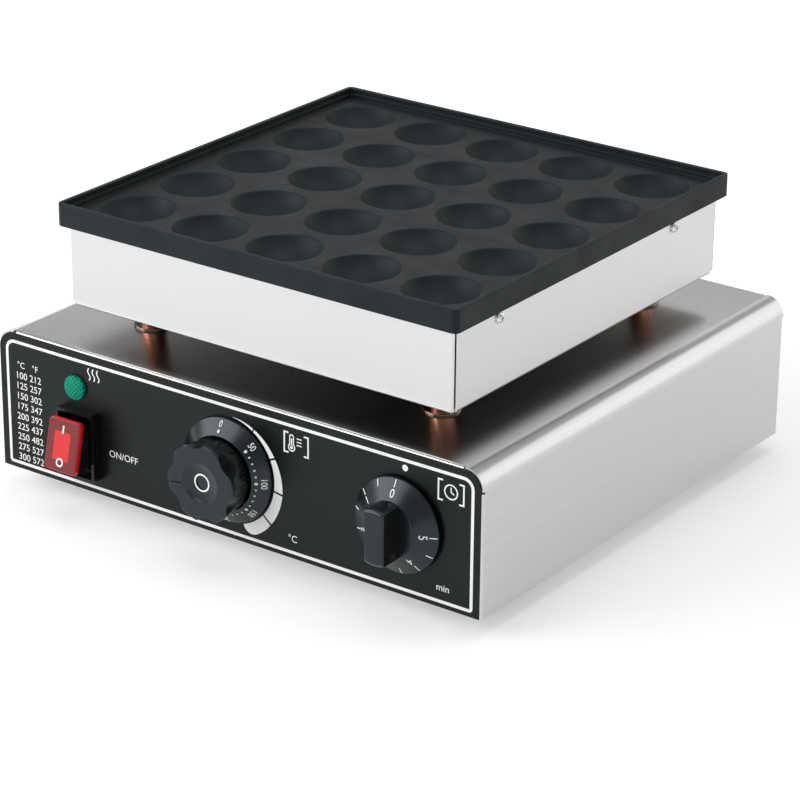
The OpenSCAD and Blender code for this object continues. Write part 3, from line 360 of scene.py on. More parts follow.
def tinted_below(made, colour, below):
    """Base colour that turns to below on faces that look down: painted shade on the box's floor."""
    shape = add(made, "ShaderNodeNewGeometry")
    axes = add(made, "ShaderNodeSeparateXYZ", [("Vector", shape, "Normal")])
    share = add(made, "ShaderNodeMapRange", [("Value", axes, "Z")], From_Min=-1.0, From_Max=-0.5)
    tone(made, share, "Result", ((0, below), (1, colour)))


def brushed_steel(name, colour, roughness, stretch, across=0.0, below=None):
    """Satin steel: fine streaks along the axis with the small stretch, in roughness, tone and bump.
    Where across is set, the streaks run along y and highlights are drawn out at right angles to
    them. Where below is set, the tone has no streaks and turns to below, a painted shade, on faces that look down."""
    made = finish(name, colour, roughness, metallic=1.0, Anisotropic=across, Anisotropic_Rotation=0.25)
    if across:
        plug(made, "Tangent", add(made, "ShaderNodeCombineXYZ", Y=1.0), "Vector")
    streaks = grain(made, scale=1.0, detail=4.0, stretch=stretch)
    uneven_gloss(made, streaks, roughness, least=0.94, most=1.06)
    # Painted shade: faces that look down take the darker below colour
    if below:
        tinted_below(made, colour, below)
    else:
        mottle(made, streaks, colour, amount=0.03)
    bump(made, streaks, strength=0.06, distance=0.02 * MM)
    return made


def moulded(name, colour, roughness, bumps=0.12, shine=0.5, sheen=(1, 1, 1)):
    """Moulded plastic: a fine grain in bump, a slow change of gloss and a sheen of that tint."""
    made = finish(name, colour, roughness, Specular_IOR_Level=shine, Specular_Tint=(*sheen, 1))
    uneven_gloss(made, grain(made, scale=60.0), roughness, least=0.88, most=1.12)
    bump(made, grain(made, scale=2600.0), strength=bumps, distance=0.03 * MM)
    return made


def plated(name, colour, roughness):
    """Bright plated or polished metal with faint smears."""
    made = finish(name, colour, roughness, metallic=1.0)
    smears = grain(made, scale=120.0)
    uneven_gloss(made, smears, roughness, least=0.85, most=1.2)
    mottle(made, smears, colour, amount=0.02)
    return made


def coated(name, colour, roughness):
    """Non-stick coat: fine sparkle-free speckle, soft orange-peel bump and an even satin sheen."""
    made = finish(name, colour, roughness, Specular_IOR_Level=0.34, Specular_Tint=(*COOL, 1))
    mottle(made, grain(made, scale=1500.0, detail=3.0), colour, amount=0.12)
    uneven_gloss(made, grain(made, scale=45.0), roughness, least=0.9, most=1.1)
    bump(made, grain(made, scale=900.0), strength=0.10, distance=0.05 * MM)
    return made


def hatched(name, colour, light, roughness, pitch):
    """Clear plastic over a cross-hatch: two sets of waves across each other, in the panel's plane,
    whose crests turn the colour to light, as painted highlights along the lens's facets."""
    made = finish(name, colour, roughness, Specular_IOR_Level=0.08)
    where = add(made, "ShaderNodeTexCoord")
    waves = []
    for turn in (-45, 45):
        mapping = add(made, "ShaderNodeMapping", [("Vector", where, "Object")])
        mapping.inputs["Rotation"].default_value = (0, math.radians(turn), 0)
        wave = add(made, "ShaderNodeTexWave", [("Vector", mapping, "Vector")], Scale=ONE_WAVE / pitch)
        waves.append((len(waves), wave, "Fac"))
    crests = add(made, "ShaderNodeMath", waves, operation="MAXIMUM")
    # The crests' lighter colour is a painted highlight of the facets' ridges
    tone(made, crests, "Value", ((HATCH_LOW, colour), (HATCH_HIGH, light)))
    return made


WRAP = brushed_steel("wrap_steel", (0.578, 0.577, 0.572), 0.21, (FINE, LONG, FINE), across=0.85)
# The box's floor turns to a dark brown: painted shade under the box
BOX = brushed_steel("box_steel", (0.67, 0.67, 0.67), 0.34, (LONG, LONG, FINE), below=(0.12, 0.10, 0.085))
PLATE = brushed_steel("plate_steel", (0.58, 0.58, 0.58), 0.34, (LONG, FINE, FINE))
SCREW = plated("screw_plating", (0.72, 0.72, 0.72), 0.18)
COPPER = plated("copper", (0.86, 0.39, 0.27), 0.21)
# Post collars: a dark copper tone, darkened further as painted shade under the heater box
SHADED_COLLAR = plated("collar_copper", (0.24, 0.19, 0.15), 0.16)
BRASS = plated("brass", (0.70, 0.50, 0.24), 0.22)
PANEL = moulded("panel_film", (0.003, 0.0035, 0.004), 0.34, bumps=0.05, shine=0.26, sheen=COOL)
INK = moulded("white_ink", (0.95, 0.955, 0.96), 0.45, bumps=0.02)
BLACK = moulded("black_plastic", (0.003, 0.003, 0.0035), 0.30, shine=0.35, sheen=COOL)
KNOB = moulded("knob_plastic", (0.002, 0.0025, 0.003), 0.25, bumps=0.04, sheen=COOL)
RUBBER = moulded("foot_rubber", (0.012, 0.012, 0.012), 0.75, bumps=0.3)
PAN = coated("pan_coat", (0.004, 0.005, 0.006), 0.58)
ELEMENT = plated("element_sheath", (0.20, 0.19, 0.18), 0.45)
CASE = moulded("control_case", (0.38, 0.29, 0.19), 0.55)
PALE = moulded("pale_plastic", (0.78, 0.78, 0.73), 0.5)
WIRE = moulded("wire_sleeve", (0.28, 0.10, 0.05), 0.7, bumps=0.3)
ROCKER_SIDE = moulded("rocker_red", (0.62, 0.008, 0.010), 0.22, bumps=0.04, shine=0.3)
ROCKER_FRAME = moulded("rocker_frame", (0.21, 0.018, 0.020), 0.3, bumps=0.04, shine=0.45)
ROCKER_WINDOW = moulded("rocker_window", (0.74, 0.036, 0.036), 0.25, bumps=0.02, shine=0.4)
# Green lens: its lighter hatch lines are painted highlights
LENS = hatched("lens_green", (0.001, 0.17, 0.10), (0.01, 0.40, 0.26), 0.24, 2.0 * MM)

SLOT_FINISHES = {
    "wrap_steel": WRAP, "box_steel": BOX, "plate_steel": PLATE, "screw_steel": SCREW,
    "panel_print": PANEL, "foot_rubber": RUBBER, "black_plastic": BLACK, "knob_plastic": KNOB,
    "knob_cap": KNOB, "copper": COPPER, "brass": BRASS, "pan_coat": PAN,
    "element_steel": ELEMENT, "control_case": CASE, "rocker_red": ROCKER_SIDE, "lens_green": LENS,
    "pale_plastic": PALE, "wire_sleeve": WIRE,
}
# The collars take the copper darkened with painted shade
NODE_FINISHES = {"post_collars": SHADED_COLLAR}
for part in frame["record"]["subparts"]:
    node_mesh = frame["nodes"][part["node"]].data
    node_mesh.materials.clear()
    node_mesh.materials.append(NODE_FINISHES.get(part["node"], SLOT_FINISHES[part["material_slot"]]))


# Soft edges of CAD nodes, with the bevels' widths in millimetres

WELD = 1e-6
SHARP = 50  # degrees between faces past which an edge is softened
EDGES = {
    "base_wrap": 0.25, "heater_box": 0.3, "panel_overlay": 0.15, "dial_ring": 0.4,
    "switch_housing": 0.5, "rocker_body": 0.4, "post_sleeves": 0.3, "post_collars": 0.2,
    "box_screws": 0.2, "rear_screws": 0.2, "bottom_screws": 0.2, "feet": 0.8,
    "cord_gland": 0.4, "rear_panel": 0.2, "bottom_plate": 0.2, "knob_cap": 0.15,
}


def soften(node, width):
    """Narrow bevels on a CAD node's sharp edges, over a weld of its loose triangles."""
    obj = frame["nodes"][node]
    weld = obj.modifiers.new("weld", "WELD")
    weld.merge_threshold = WELD
    edge = obj.modifiers.new("edge", "BEVEL")
    edge.width = width
    edge.segments = 2
    edge.limit_method = "ANGLE"
    edge.angle_limit = math.radians(SHARP)
    obj.modifiers.new("normals", "WEIGHTED_NORMAL").keep_sharp = True


# Pan: its plate is a grid of cells with a dimple each, inside a rim with a ledge

TILES = 5
LAST = TILES - 1
DIMPLE = 45 * MM
DIMPLE_DEEP = 12 * MM
LIP = 0.9 * MM
PAN_RIM = 14 * MM
PLATE_DROP = 6 * MM
RIM_TOP = 3 * MM
LEDGE = 1.5 * MM
LEDGE_DROP = 3.4 * MM
EDGE_MARGIN = 7 * MM
BODY_IN = 6.8 * MM
BODY_R = 0.3 * MM
PLATE_R = 0.8 * MM
RECESS_R = 1 * MM
RIM_R = 4 * MM
FILLET = 0.4 * MM
LEDGE_SOFT = 0.3 * MM
TOP_SOFT = 0.6 * MM
FOOT_SOFT = 0.4 * MM
CELL_STEPS = 16
CORNER_STEPS = 5

pan_half = half_wide("baking_pan")
plate_at = middle("baking_pan")
plate_at.z = pan_high.z - PLATE_DROP
plate_half = pan_half - RIM_TOP - LEDGE - FILLET
dimple_pitch = (2 * (pan_half - RIM_TOP - LEDGE - EDGE_MARGIN) - DIMPLE) / LAST
cell_lines = (np.arange(1, TILES) - TILES / 2) * dimple_pitch


def square_ring(half, corner):
    """A square with arc corners, walked anticlockwise from the middle of its front left corner:
    each side is cut at the cells' lines into stretches of equal steps, of which the first and the
    last give CORNER_STEPS points to their half of a corner's arc."""
    straight, quarter = 2 * (half - corner), corner * math.pi / 4
    knots = cell_lines + half - corner
    rest = CELL_STEPS - CORNER_STEPS
    walk = [(-quarter, 0, CORNER_STEPS), (0, knots[0], rest)]
    walk += [(a, b, CELL_STEPS) for a, b in zip(knots[:-1], knots[1:])]
    walk += [(knots[-1], straight, rest), (straight, straight + quarter, CORNER_STEPS)]
    s = np.concatenate([np.linspace(a, b, n, endpoint=False) for a, b, n in walk])
    angle = -math.pi / 2 + (np.minimum(s, 0) + np.maximum(s - straight, 0)) / corner
    along = np.clip(s, 0, straight) - straight / 2
    side = np.stack([along + corner * np.cos(angle), corner - half + corner * np.sin(angle)], 1)
    points = [side]
    for _ in range(3):
        points.append(square_to(points[-1]))
    return np.concatenate(points)


def dimple_profile():
    """Radius and height of a dimple from the flat plate inwards: a rounded lip, drawn as a
    parabola between its two tangents, and a spherical bowl down to the middle."""
    ball = ((DIMPLE / 2) ** 2 + DIMPLE_DEEP ** 2) / (2 * DIMPLE_DEEP)
    slope = math.acos((ball - DIMPLE_DEEP) / ball)
    down = slope - LIP / ball
    start = np.array([DIMPLE / 2 + LIP, 0])
    knee = np.array([DIMPLE / 2, 0])
    end = np.array([ball * math.sin(down), ball - DIMPLE_DEEP - ball * math.cos(down)])
    t = np.linspace(0, 1, 6)[:, None]
    curve = (1 - t) ** 2 * start + 2 * t * (1 - t) * knee + t ** 2 * end
    a = np.linspace(down, 0, 14)[1:]
    bowl = np.stack([ball * np.sin(a), ball - DIMPLE_DEEP - ball * np.cos(a)], 1)
    return np.concatenate([curve, bowl])


def cell_border(i, j, sides):
    """Border of cell i, j, anticlockwise from its front left corner: stretches of the plate's
    outline where the cell lies at an edge, straight lines elsewhere."""
    lines = np.concatenate([[-plate_half], cell_lines, [plate_half]])
    left, right, front, rear = lines[i], lines[i + 1], lines[j], lines[j + 1]
    corners = np.array([(left, front), (right, front), (right, rear), (left, rear)])
    at_edge = (j == 0, i == LAST, j == LAST, i == 0)
    stretch = (i, j, LAST - i, LAST - j)
    border = []
    for k in range(4):
        straight = np.linspace(corners[k], corners[(k + 1) % 4], CELL_STEPS, endpoint=False)
        border.append(sides[k, stretch[k]] if at_edge[k] else straight)
    return np.concatenate(border)


def pan_cell(i, j, sides, profile):
    """Plate and dimple of one cell: rows of points on rays from the dimple's middle, from the
    cell's border over the lip to the bottom."""
    edge = cell_border(i, j, sides)
    at = (np.array([i, j]) - LAST / 2) * dimple_pitch
    ray = (edge - at) / np.linalg.norm(edge - at, axis=1)[:, None]
    lip = at + profile[0, 0] * ray
    rows = [level(edge, 0), level((edge + lip) / 2, 0)]
    rows += [level(at + r * ray, z) for r, z in profile]
    return stack(rows, ends=())


def pan_rim():
    """Rim and body: a profile of fillet, ledge, rounded top and side, carried round the plate's
    outline with corners that widen outwards, then a plain body down to its closed bottom."""
    wall, step, outer = FILLET, FILLET + LEDGE, FILLET + LEDGE + RIM_TOP
    ledge_z, low = PLATE_DROP - LEDGE_DROP, PLATE_DROP - PAN_RIM
    profile = np.concatenate([
        arc((0, FILLET), FILLET, -90, 0, 4),
        arc((wall + LEDGE_SOFT, ledge_z - LEDGE_SOFT), LEDGE_SOFT, 180, 90, 4),
        arc((step - LEDGE_SOFT, ledge_z + LEDGE_SOFT), LEDGE_SOFT, -90, 0, 4),
        arc((step + TOP_SOFT, PLATE_DROP - TOP_SOFT), TOP_SOFT, 180, 90, 5),
        arc((outer - TOP_SOFT, PLATE_DROP - TOP_SOFT), TOP_SOFT, 90, 0, 5),
        arc((outer - FOOT_SOFT, low + FOOT_SOFT), FOOT_SOFT, 0, -90, 4),
    ])
    radii = [PLATE_R - FILLET, PLATE_R, RECESS_R, RIM_R]
    corners = np.interp(profile[:, 0], [0, wall, step, outer], radii)
    rows = [level(square_ring(plate_half + u, r), z) for (u, z), r in zip(profile, corners)]
    body = square_ring(pan_half - BODY_IN, BODY_R)
    rows += [level(body, z) for z in (low, pan_low.z - plate_at.z)]
    return stack(rows, ends=(-1,))


def baking_pan():
    """Pan as one closed skin: its cells side by side, and the rim round them."""
    sides = square_ring(plate_half, PLATE_R - FILLET).reshape(4, TILES, CELL_STEPS, 2)
    profile = dimple_profile()
    cells = [pan_cell(i, j, sides, profile) for i in range(TILES) for j in range(TILES)]
    points, faces = join(cells + [pan_rim()])
    made = piece("pan_skin", points + np.array(plate_at), faces, PAN, "machine", "pan_coat", 35)
    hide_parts("baking_pan")


# Temperature dial

RING_LOW = 2.2 * MM
RING_HIGH = 8 * MM
RING_INNER = 22.95 * MM
RING_LIP = 0.6 * MM
KNOB_REACH = 26 * MM
KNOB_EDGE = 24 * MM
KNOB_BACK = 21.75 * MM
KNOB_FOOT = 4.8 * MM
KNOB_SOFT = 1.1 * MM
KNOB_CLEAR = 0.6 * MM
STEM_IN = 0.5 * MM
DISH = 12.5 * MM
DISH_DEEP = 2.6 * MM
DISH_SOFT = 0.5 * MM
DISH_SAG = 0.06 * MM
FACE_OUT = 3 * MM
SEAT = 6.0 * MM
SEAT_DROP = 0.6 * MM
POINTER = 261
GROOVE = 1.0 * MM
GROOVE_DEEP = 0.8 * MM
GROOVE_START = DISH + 0.9 * MM
GROOVE_END = 0.05 * MM
# The knob's columns: lanes along the pointer's line, then free angles round from it
LANES = np.array([-1.6, -1.0, -0.75, 0, 0.75, 1.0, 1.6]) * GROOVE
FREE = np.radians(np.arange(9, 352, 1.5))
IN_GROOVE = np.concatenate([np.abs(LANES) < 0.9 * GROOVE, np.zeros(len(FREE), bool)])
LOBES = 6
CUTTER = 14 * MM
VALLEY = 21.2 * MM
SCALLOP_SOFT = 0.9 * MM
FAR_OUT = 1.0
CAP_RING_OUT = 0.5 * MM
CAP_RING_IN = 1.5 * MM
SCALE_TOP = 300
SCALE_TURN = 270
SCALE_FIGURES = 50
SCALE_DOTS = 10
ZERO_AT = -3.5
BIG_DOT = 0.85 * MM
SMALL_DOT = 0.5 * MM
DOTS_AT = 25.4 * MM
HEAT_HIGH = 3.1 * MM
HEAT_AT = 29 * MM
SCALE_LIFT = 0.02 * MM


def soft_min(a, b, k):
    """The smaller of two values, with the corner between them rounded over k."""
    h = np.clip(0.5 + 0.5 * (b - a) / k, 0, 1)
    return b + (a - b) * h - k * h * (1 - h)


def lobed(angle, radius):
    """Radius of a round knob with scallops: the smaller of the circle and of round cutters whose
    nearest point lies at VALLEY from the axis, halfway between the lobes."""
    reach = VALLEY + CUTTER
    step = 2 * math.pi / LOBES
    off = np.abs((angle - math.radians(POINTER)) % step - step / 2)
    inside = np.clip(CUTTER ** 2 - (reach * np.sin(off)) ** 2, 0, None)
    cut = np.where(reach * np.sin(off) < CUTTER, reach * np.cos(off) - np.sqrt(inside), FAR_OUT)
    return soft_min(radius, cut, SCALLOP_SOFT)


def knob_row(radius, s, share=0.0, back=0.0):
    """A ring of the knob, s off the panel: share blends its radius to the lobed edge, which back
    narrows. The LANES keep their distance from the pointer's line, so that the groove between
    them has straight walls, and the FREE columns stand at fixed angles."""
    near = np.arcsin(LANES / np.maximum(KNOB_EDGE if share else radius, DISH))
    angle = math.radians(POINTER) + np.concatenate([near, FREE])
    r = radius * (1 - share) + lobed(angle, KNOB_EDGE - back) * share
    cut = IN_GROOVE & (r > GROOVE_START)
    return turned(dial_at, r, angle, np.where(cut, np.minimum(s, KNOB_REACH - GROOVE_DEEP), s))


def temperature_knob():
    """Knob as rows of closed rings from the middle of its front outwards and back: seat of the cap,
    spherical dish, flat face, rounded edge, scalloped side that narrows towards the panel, stem."""
    ball = (DISH ** 2 + DISH_DEEP ** 2) / (2 * DISH_DEEP)
    bottom = KNOB_REACH - DISH_DEEP
    face = DISH + FACE_OUT
    rows = [knob_row(r, bottom - SEAT_DROP) for r in (0, SEAT)]
    for r in np.linspace(SEAT, DISH - DISH_SOFT, 8):
        rows.append(knob_row(r, bottom + ball - np.sqrt(ball ** 2 - r ** 2)))
    rows.append(knob_row(DISH, KNOB_REACH - DISH_SAG))
    for r in (DISH + DISH_SOFT, GROOVE_START - GROOVE_END, GROOVE_START + GROOVE_END, face):
        rows.append(knob_row(r, KNOB_REACH))
    for share in (0.5, 1.0):
        rows.append(knob_row(face, KNOB_REACH, share, back=KNOB_SOFT))
    for a in np.radians([30, 60, 90]):
        s = KNOB_REACH - KNOB_SOFT * (1 - math.cos(a))
        rows.append(knob_row(face, s, share=1.0, back=KNOB_SOFT * (1 - math.sin(a))))
    for t in np.linspace(0, 1, 6)[1:]:
        s = (KNOB_REACH - KNOB_SOFT) * (1 - t) + (RING_HIGH + KNOB_CLEAR) * t
        rows.append(knob_row(face, s, share=1.0, back=(KNOB_EDGE - KNOB_BACK) * t))
    stem = KNOB_BACK - STEM_IN
    rows += [knob_row(r, s) for r, s in ((stem, RING_HIGH), (stem, KNOB_FOOT), (0, KNOB_FOOT))]
    made = piece("temperature_grip", *stack(rows), KNOB, "temperature_dial", "knob_plastic", 50)
    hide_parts("temperature_knob")


def cap_ring():
    """White ring on the raised edge of the knob's cap: a band between two circles."""
    radius = half_wide("knob_cap")
    top = face_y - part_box("knob_cap")[0].y
    ray = rays(full_turn(64))
    ring = band(ray * (radius - CAP_RING_IN), ray * (radius - CAP_RING_OUT), closed=True)

    def place(u, v, w):
        """Points on the cap for marks drawn from its middle."""
        return on_panel(dial_at.x + u, dial_at.z + v, top + w)

    printed("cap_ring", [ring], place, "temperature_dial", "knob_cap")


def ring_height(radius):
    """Height of the fixed scale ring's cone at a radius, a straight line from its lip outwards."""
    return np.interp(radius, [RING_INNER + RING_LIP, half_wide("dial_ring")], [RING_HIGH, RING_LOW])


def temperature_scale():
    """Dots laid on the cone: one for zero, which stands a little before the even scale, and one
    every ten degrees from fifty on. Every fifty the dot is larger and has a figure outside it."""
    marks = []
    for value in (0, *range(SCALE_FIGURES, SCALE_TOP + 1, SCALE_DOTS)):
        angle = value * SCALE_TURN / SCALE_TOP if value else ZERO_AT
        big = value % SCALE_FIGURES == 0
        marks.append(around(disc((0, 0), BIG_DOT if big else SMALL_DOT, 18), DOTS_AT, angle))
        if big:
            marks.append(around(letters(str(value), HEAT_HIGH), HEAT_AT, angle))
    place = on_cone(dial_at, ring_height, SCALE_LIFT)
    printed("temperature_scale", marks, place, "machine", "panel_print")


# Timer dial

SKIRT = 28.5 * MM
SKIRT_BACK = 1 * MM
SKIRT_SOFT = 0.4 * MM
SKIRT_LOW = 3.4 * MM
SKIRT_HIGH = 9.3 * MM
HUB = 17 * MM
HUB_HIGH = 10.5 * MM
HUB_SOFT = 0.5 * MM
CONE_OUTER = (SKIRT - SKIRT_SOFT, SKIRT_LOW + 0.1 * MM)
CONE_INNER = (HUB + 0.8 * MM, SKIRT_HIGH - 0.1 * MM)
SKIRT_EDGE = SKIRT_LOW - 0.3 * MM
GRIP_HALF = 6.5 * MM
GRIP_REACH = 25.2 * MM
GRIP_IN = 0.05 * MM
FLAT_IN = 1.1 * MM
END_IN = 3.4 * MM
GRIP_SOFT = 2.2 * MM
TIMER_TOP = 5
MINUTE = 54
TICK_OUTER = 27.9 * MM
TICK_INNER = 24.0 * MM
HALF_INNER = 24.3 * MM
TICK_WIDE = 0.55 * MM
MINUTE_HIGH = 4.3 * MM
MINUTE_AT = 20.7 * MM
TIMER_LIFT = 0.05 * MM


def timer_skirt():
    """Skirt and hub: a profile of (radius, height) turned round the timer's axis."""
    profile = [
        (0, SKIRT_BACK), (SKIRT - SKIRT_SOFT, SKIRT_BACK), (SKIRT, SKIRT_BACK + SKIRT_SOFT),
        (SKIRT, SKIRT_EDGE), CONE_OUTER, CONE_INNER, (HUB, SKIRT_HIGH + HUB_SOFT),
        (HUB, HUB_HIGH - HUB_SOFT), (HUB - HUB_SOFT, HUB_HIGH), (0, HUB_HIGH),
    ]
    angle = full_turn(144)
    return stack([turned(timer_at, r, angle, s) for r, s in profile])


def timer_bar():
    """Bar grip: its outline, two flats between arcs of the hub's circle, carried outwards and drawn
    in along a quarter of an ellipse, further at its ends than at its flats."""
    end = math.degrees(math.asin(GRIP_HALF / HUB))
    top = arc((0, 0), HUB - GRIP_IN, 90 - end, 90 + end, 22)
    outline = np.concatenate([top, -top])
    turn = np.radians(np.linspace(0, 90, 7))
    inset = np.concatenate([[0], 1 - np.cos(turn)])
    reach = np.concatenate([[SKIRT_HIGH], GRIP_REACH - GRIP_SOFT * (1 - np.sin(turn))])
    rows = []
    for share, s in zip(inset, reach):
        u, v = (outline * (1 - FLAT_IN * share / GRIP_HALF, 1 - END_IN * share / HUB)).T
        rows.append(on_panel(timer_at.x + u, timer_at.z + v, s))
    return stack(rows)


def timer_knob():
    """Timer's knob: skirt and hub with the bar standing on them."""
    points, faces = join([timer_skirt(), timer_bar()])
    made = piece("timer_grip", points, faces, KNOB, "timer_dial", "knob_plastic", 50)
    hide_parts("timer_knob")


def skirt_height(radius):
    """Height of the timer skirt's cone at a radius, a straight line between its two edges."""
    return np.interp(radius, *zip(CONE_INNER, CONE_OUTER))


def timer_scale():
    """Minutes anticlockwise on the skirt: a tick and a figure each, and ticks at the halves that
    are a little shorter."""
    marks = []
    for half in range(2 * TIMER_TOP + 1):
        angle = -half * MINUTE / 2
        whole = half % 2 == 0
        inner = TICK_INNER if whole else HALF_INNER
        marks.append(around(line([(0, 0), (0, TICK_OUTER - inner)], TICK_WIDE), inner, angle))
        if whole:
            marks.append(around(letters(str(half // 2), MINUTE_HIGH), MINUTE_AT, angle))
    place = on_cone(timer_at, skirt_height, TIMER_LIFT)
    printed("timer_scale", marks, place, "timer_dial", "knob_plastic")


# Rocker switch

ROCKER_HALF_W = 12.25 * MM
ROCKER_HALF_H = 16 * MM
ROCKER_REACH = 15.7 * MM
ROCKER_THICK = 3.2 * MM
ROCKER_R = 3 * MM
ROCKER_SOFT = 1.2 * MM
ROCKER_TILT = 13
FRAME_IN = 0.7 * MM
FRAME_R = 2.4 * MM
WINDOW_HALF_W = 6.1 * MM
WINDOW_HALF_H = 8.6 * MM
WINDOW_R = 0.9 * MM
WINDOW_LIFT = 0.15 * MM
WINDOW_DROP = 0.4 * MM
PLATE_ROWS = ((0, -0.1 * MM), (0, 0.1 * MM), (0.2 * MM, 0.2 * MM))  # insets and heights
ON_LOW, ON_HIGH, ON_WIDE = 7.4 * MM, 12.2 * MM, 1.2 * MM
OFF_AT, OFF_R, OFF_WIDE = -10.2 * MM, 2.2 * MM, 1.0 * MM
MARKS_LIFT = 0.35 * MM


def on_rocker(x, up, out):
    """Points of the rocker's own axes, out from its pivot and tilted with its upper end pressed in."""
    x, up, out = np.broadcast_arrays(x, up, out)
    a = math.radians(-ROCKER_TILT)
    pivot = joint_at["rocker_tip"]
    return np.stack([pivot[0] + x, pivot[1] - out * math.cos(a) - up * math.sin(a),
                     pivot[2] - out * math.sin(a) + up * math.cos(a)], -1)


def rocker_side():
    """Rocker's cap as rounded outlines from its face back: a rounded edge and straight sides."""
    outlines = [(ROCKER_REACH - ROCKER_SOFT * (1 - math.cos(t)), ROCKER_SOFT * (1 - math.sin(t)))
                for t in np.radians([0, 30, 60, 90])]
    outlines.append((ROCKER_REACH - ROCKER_THICK, 0))
    rows = []
    for out, inset in outlines:
        u, v = rounded_rect(ROCKER_HALF_W - inset, ROCKER_HALF_H - inset, ROCKER_R - inset, 12).T
        rows.append(on_rocker(u, v, out))
    made = piece("rocker", *stack(rows), ROCKER_SIDE, "rocker", "rocker_red", 45)
    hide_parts("rocker_cap")


def rocker_plate(name, half_w, half_h, corner, lift, drop, material):
    """A thin plate lift above the cap's face and drop below its middle: outlines from its foot up,
    of which the last is drawn in as a chamfer."""
    rows = []
    for inset, high in PLATE_ROWS:
        u, v = rounded_rect(half_w - inset, half_h - inset, corner, 8).T
        rows.append(on_rocker(u, v - drop, ROCKER_REACH + lift + high))
    piece(name, *stack(rows), material, "rocker", "rocker_red", 45)


def rocker_marks():
    """Marks on the plates: a stroke for on and a ring for off."""
    on = line([(0, ON_LOW), (0, ON_HIGH)], ON_WIDE)
    off = line(circle((0, OFF_AT), OFF_R, 32), OFF_WIDE, closed=True)

    def place(u, v, w):
        """Points above the rocker's face for marks drawn from its middle."""
        return on_rocker(u, v, ROCKER_REACH + MARKS_LIFT + w)

    printed("rocker_marks", [on, off], place, "rocker", "rocker_red")


def rocker_cap():
    """Rocker's cap with a dark frame on its face, a raised window in the frame, and the marks."""
    rocker_side()
    rocker_plate("rocker_frame", ROCKER_HALF_W - FRAME_IN, ROCKER_HALF_H - FRAME_IN, FRAME_R, 0, 0,
                 ROCKER_FRAME)
    rocker_plate("rocker_window", WINDOW_HALF_W, WINDOW_HALF_H, WINDOW_R, WINDOW_LIFT, WINDOW_DROP,
                 ROCKER_WINDOW)
    rocker_marks()


# Lamp

LENS_SIDE = 2.3 * MM
LENS_FOOT_IN = 0.1 * MM
LENS_SHOULDER = 0.8  # share of the side that is straight
LENS_SOFT = 0.4 * MM
FACET = 1.7 * MM
FACET_DEEP = 0.35 * MM
FACET_FADE = 8  # the facets are at full depth from 1/8 of the radius inwards


def facets(t):
    """Triangle wave from 0 to 1 and back, one to each FACET of length."""
    return np.abs((t / FACET) % 1 - 0.5) * 2


def lamp_lens():
    """Lens: a low parabolic dome whose surface is set with small diamonds, the sum of two triangle
    waves across each other, fading out at the rim."""
    low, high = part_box("lamp_lens")
    radius, tall = half_wide("lamp_lens"), high.y - low.y
    angle = full_turn(160)
    rows = [turned(lamp_at, radius - LENS_FOOT_IN, angle, 0)]
    rows.append(turned(lamp_at, radius, angle, LENS_SIDE * LENS_SHOULDER))
    for t in np.linspace(1, 0, 40):
        r = (radius - LENS_SOFT) * t
        x, z = r * np.sin(angle), r * np.cos(angle)
        dome = LENS_SIDE + (tall - LENS_SIDE) * (1 - t ** 2)
        cut = FACET_DEEP * (facets(x + z) + facets(x - z)) / 2 * min(1, FACET_FADE * (1 - t))
        rows.append(turned(lamp_at, r, angle, dome - cut))
    made = piece("lamp_dome", *stack(rows), LENS, "machine", "lens_green", 14)
    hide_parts("lamp_lens")


# Panel printing, in millimetres from the base's middle and lower edge

BORDER_LEFT, BORDER_RIGHT = -168.3, 169.0
BORDER_LOW, BORDER_HIGH = 4.6, 82.8
BORDER_TOP_R, BORDER_FOOT_R = 6, 1.4
BORDER_WIDE = 1.9
TABLE_COLUMNS = (("°C", -157.6), ("°F", -146.6))
TABLE_HEAD, TABLE_HEAD_HIGH = 68.4, 3.8
TABLE_TOP, TABLE_PITCH, TABLE_HIGH = 61.6, 6.6, 4.3
TABLE_ROWS, TABLE_FIRST, TABLE_STEP = 9, 100, 25
WAVES_AT, WAVES_PITCH = (-104, 72.5), 3.4
WAVE_SWING, WAVE_TALL, WAVE_WIDE = 0.9, 7.5, 0.8
WORDS = (("ON/OFF", -79, 29.6), ("°C", 46, 13), ("min", 150, 13))
WORD_HIGH = 4.2
INDEX_RIGHT, INDEX_UP, INDEX_R = 3.2, 78.3, 1.9
HEAT_SIGN = (48.8, 72.2)
CLOCK_SIGN = (154.6, 72.2)
BRACKET_HALF_W, BRACKET_FOOT, BRACKET_HALF_H, BRACKET_WIDE = 8.4, 5.4, 6, 1.0
BULB, BULB_R, BULB_DOT = (45.6, 69.6), 2.2, 1.1
BULB_START, BULB_END = 126, 414
TUBE_TALL, TUBE_R, TUBE_WIDE = 6.4, 1.3, 0.7
ROD_LOW, ROD_HIGH, ROD_WIDE = 0.4, 5.4, 0.8
BAR_LEFT, BAR_RIGHT, BAR_WIDE = 3.6, 7.0, 0.6
BAR_LOW, BAR_PITCH = 2.2, 2
CLOCK_R, CLOCK_WIDE = 4.2, 0.8
HANDS, HAND_WIDE = ((0, 2.8), (0, 0), (2.1, -1.2)), 0.7
CRESCENT_R = 33.2
CRESCENT_PARTS = ((6, 31.6), (33.0, 64.4), (66.4, 97.8), (99.8, 130.2), (132.2, 161.5))
CRESCENT_TURNS, CRESCENT_WIDTHS = (6, 64, 97, 143), (0.1, 3.5, 6.0, 7.6)
CRESCENT_END, CRESCENT_ROUND = 150, 11.8
PANEL_LIFT = 0.01 * MM


def stroke(path, width, closed=False):
    """A line whose path and width are given in millimetres."""
    return line(np.asarray(path, float) * MM, width * MM, closed)


def dot(x, z, radius):
    """A round dot whose place and radius are given in millimetres."""
    return disc((x * MM, z * MM), radius * MM)


def word(text, high, x, z):
    """Letters whose height and middle are given in millimetres."""
    return moved(letters(text, high * MM), x * MM, z * MM)


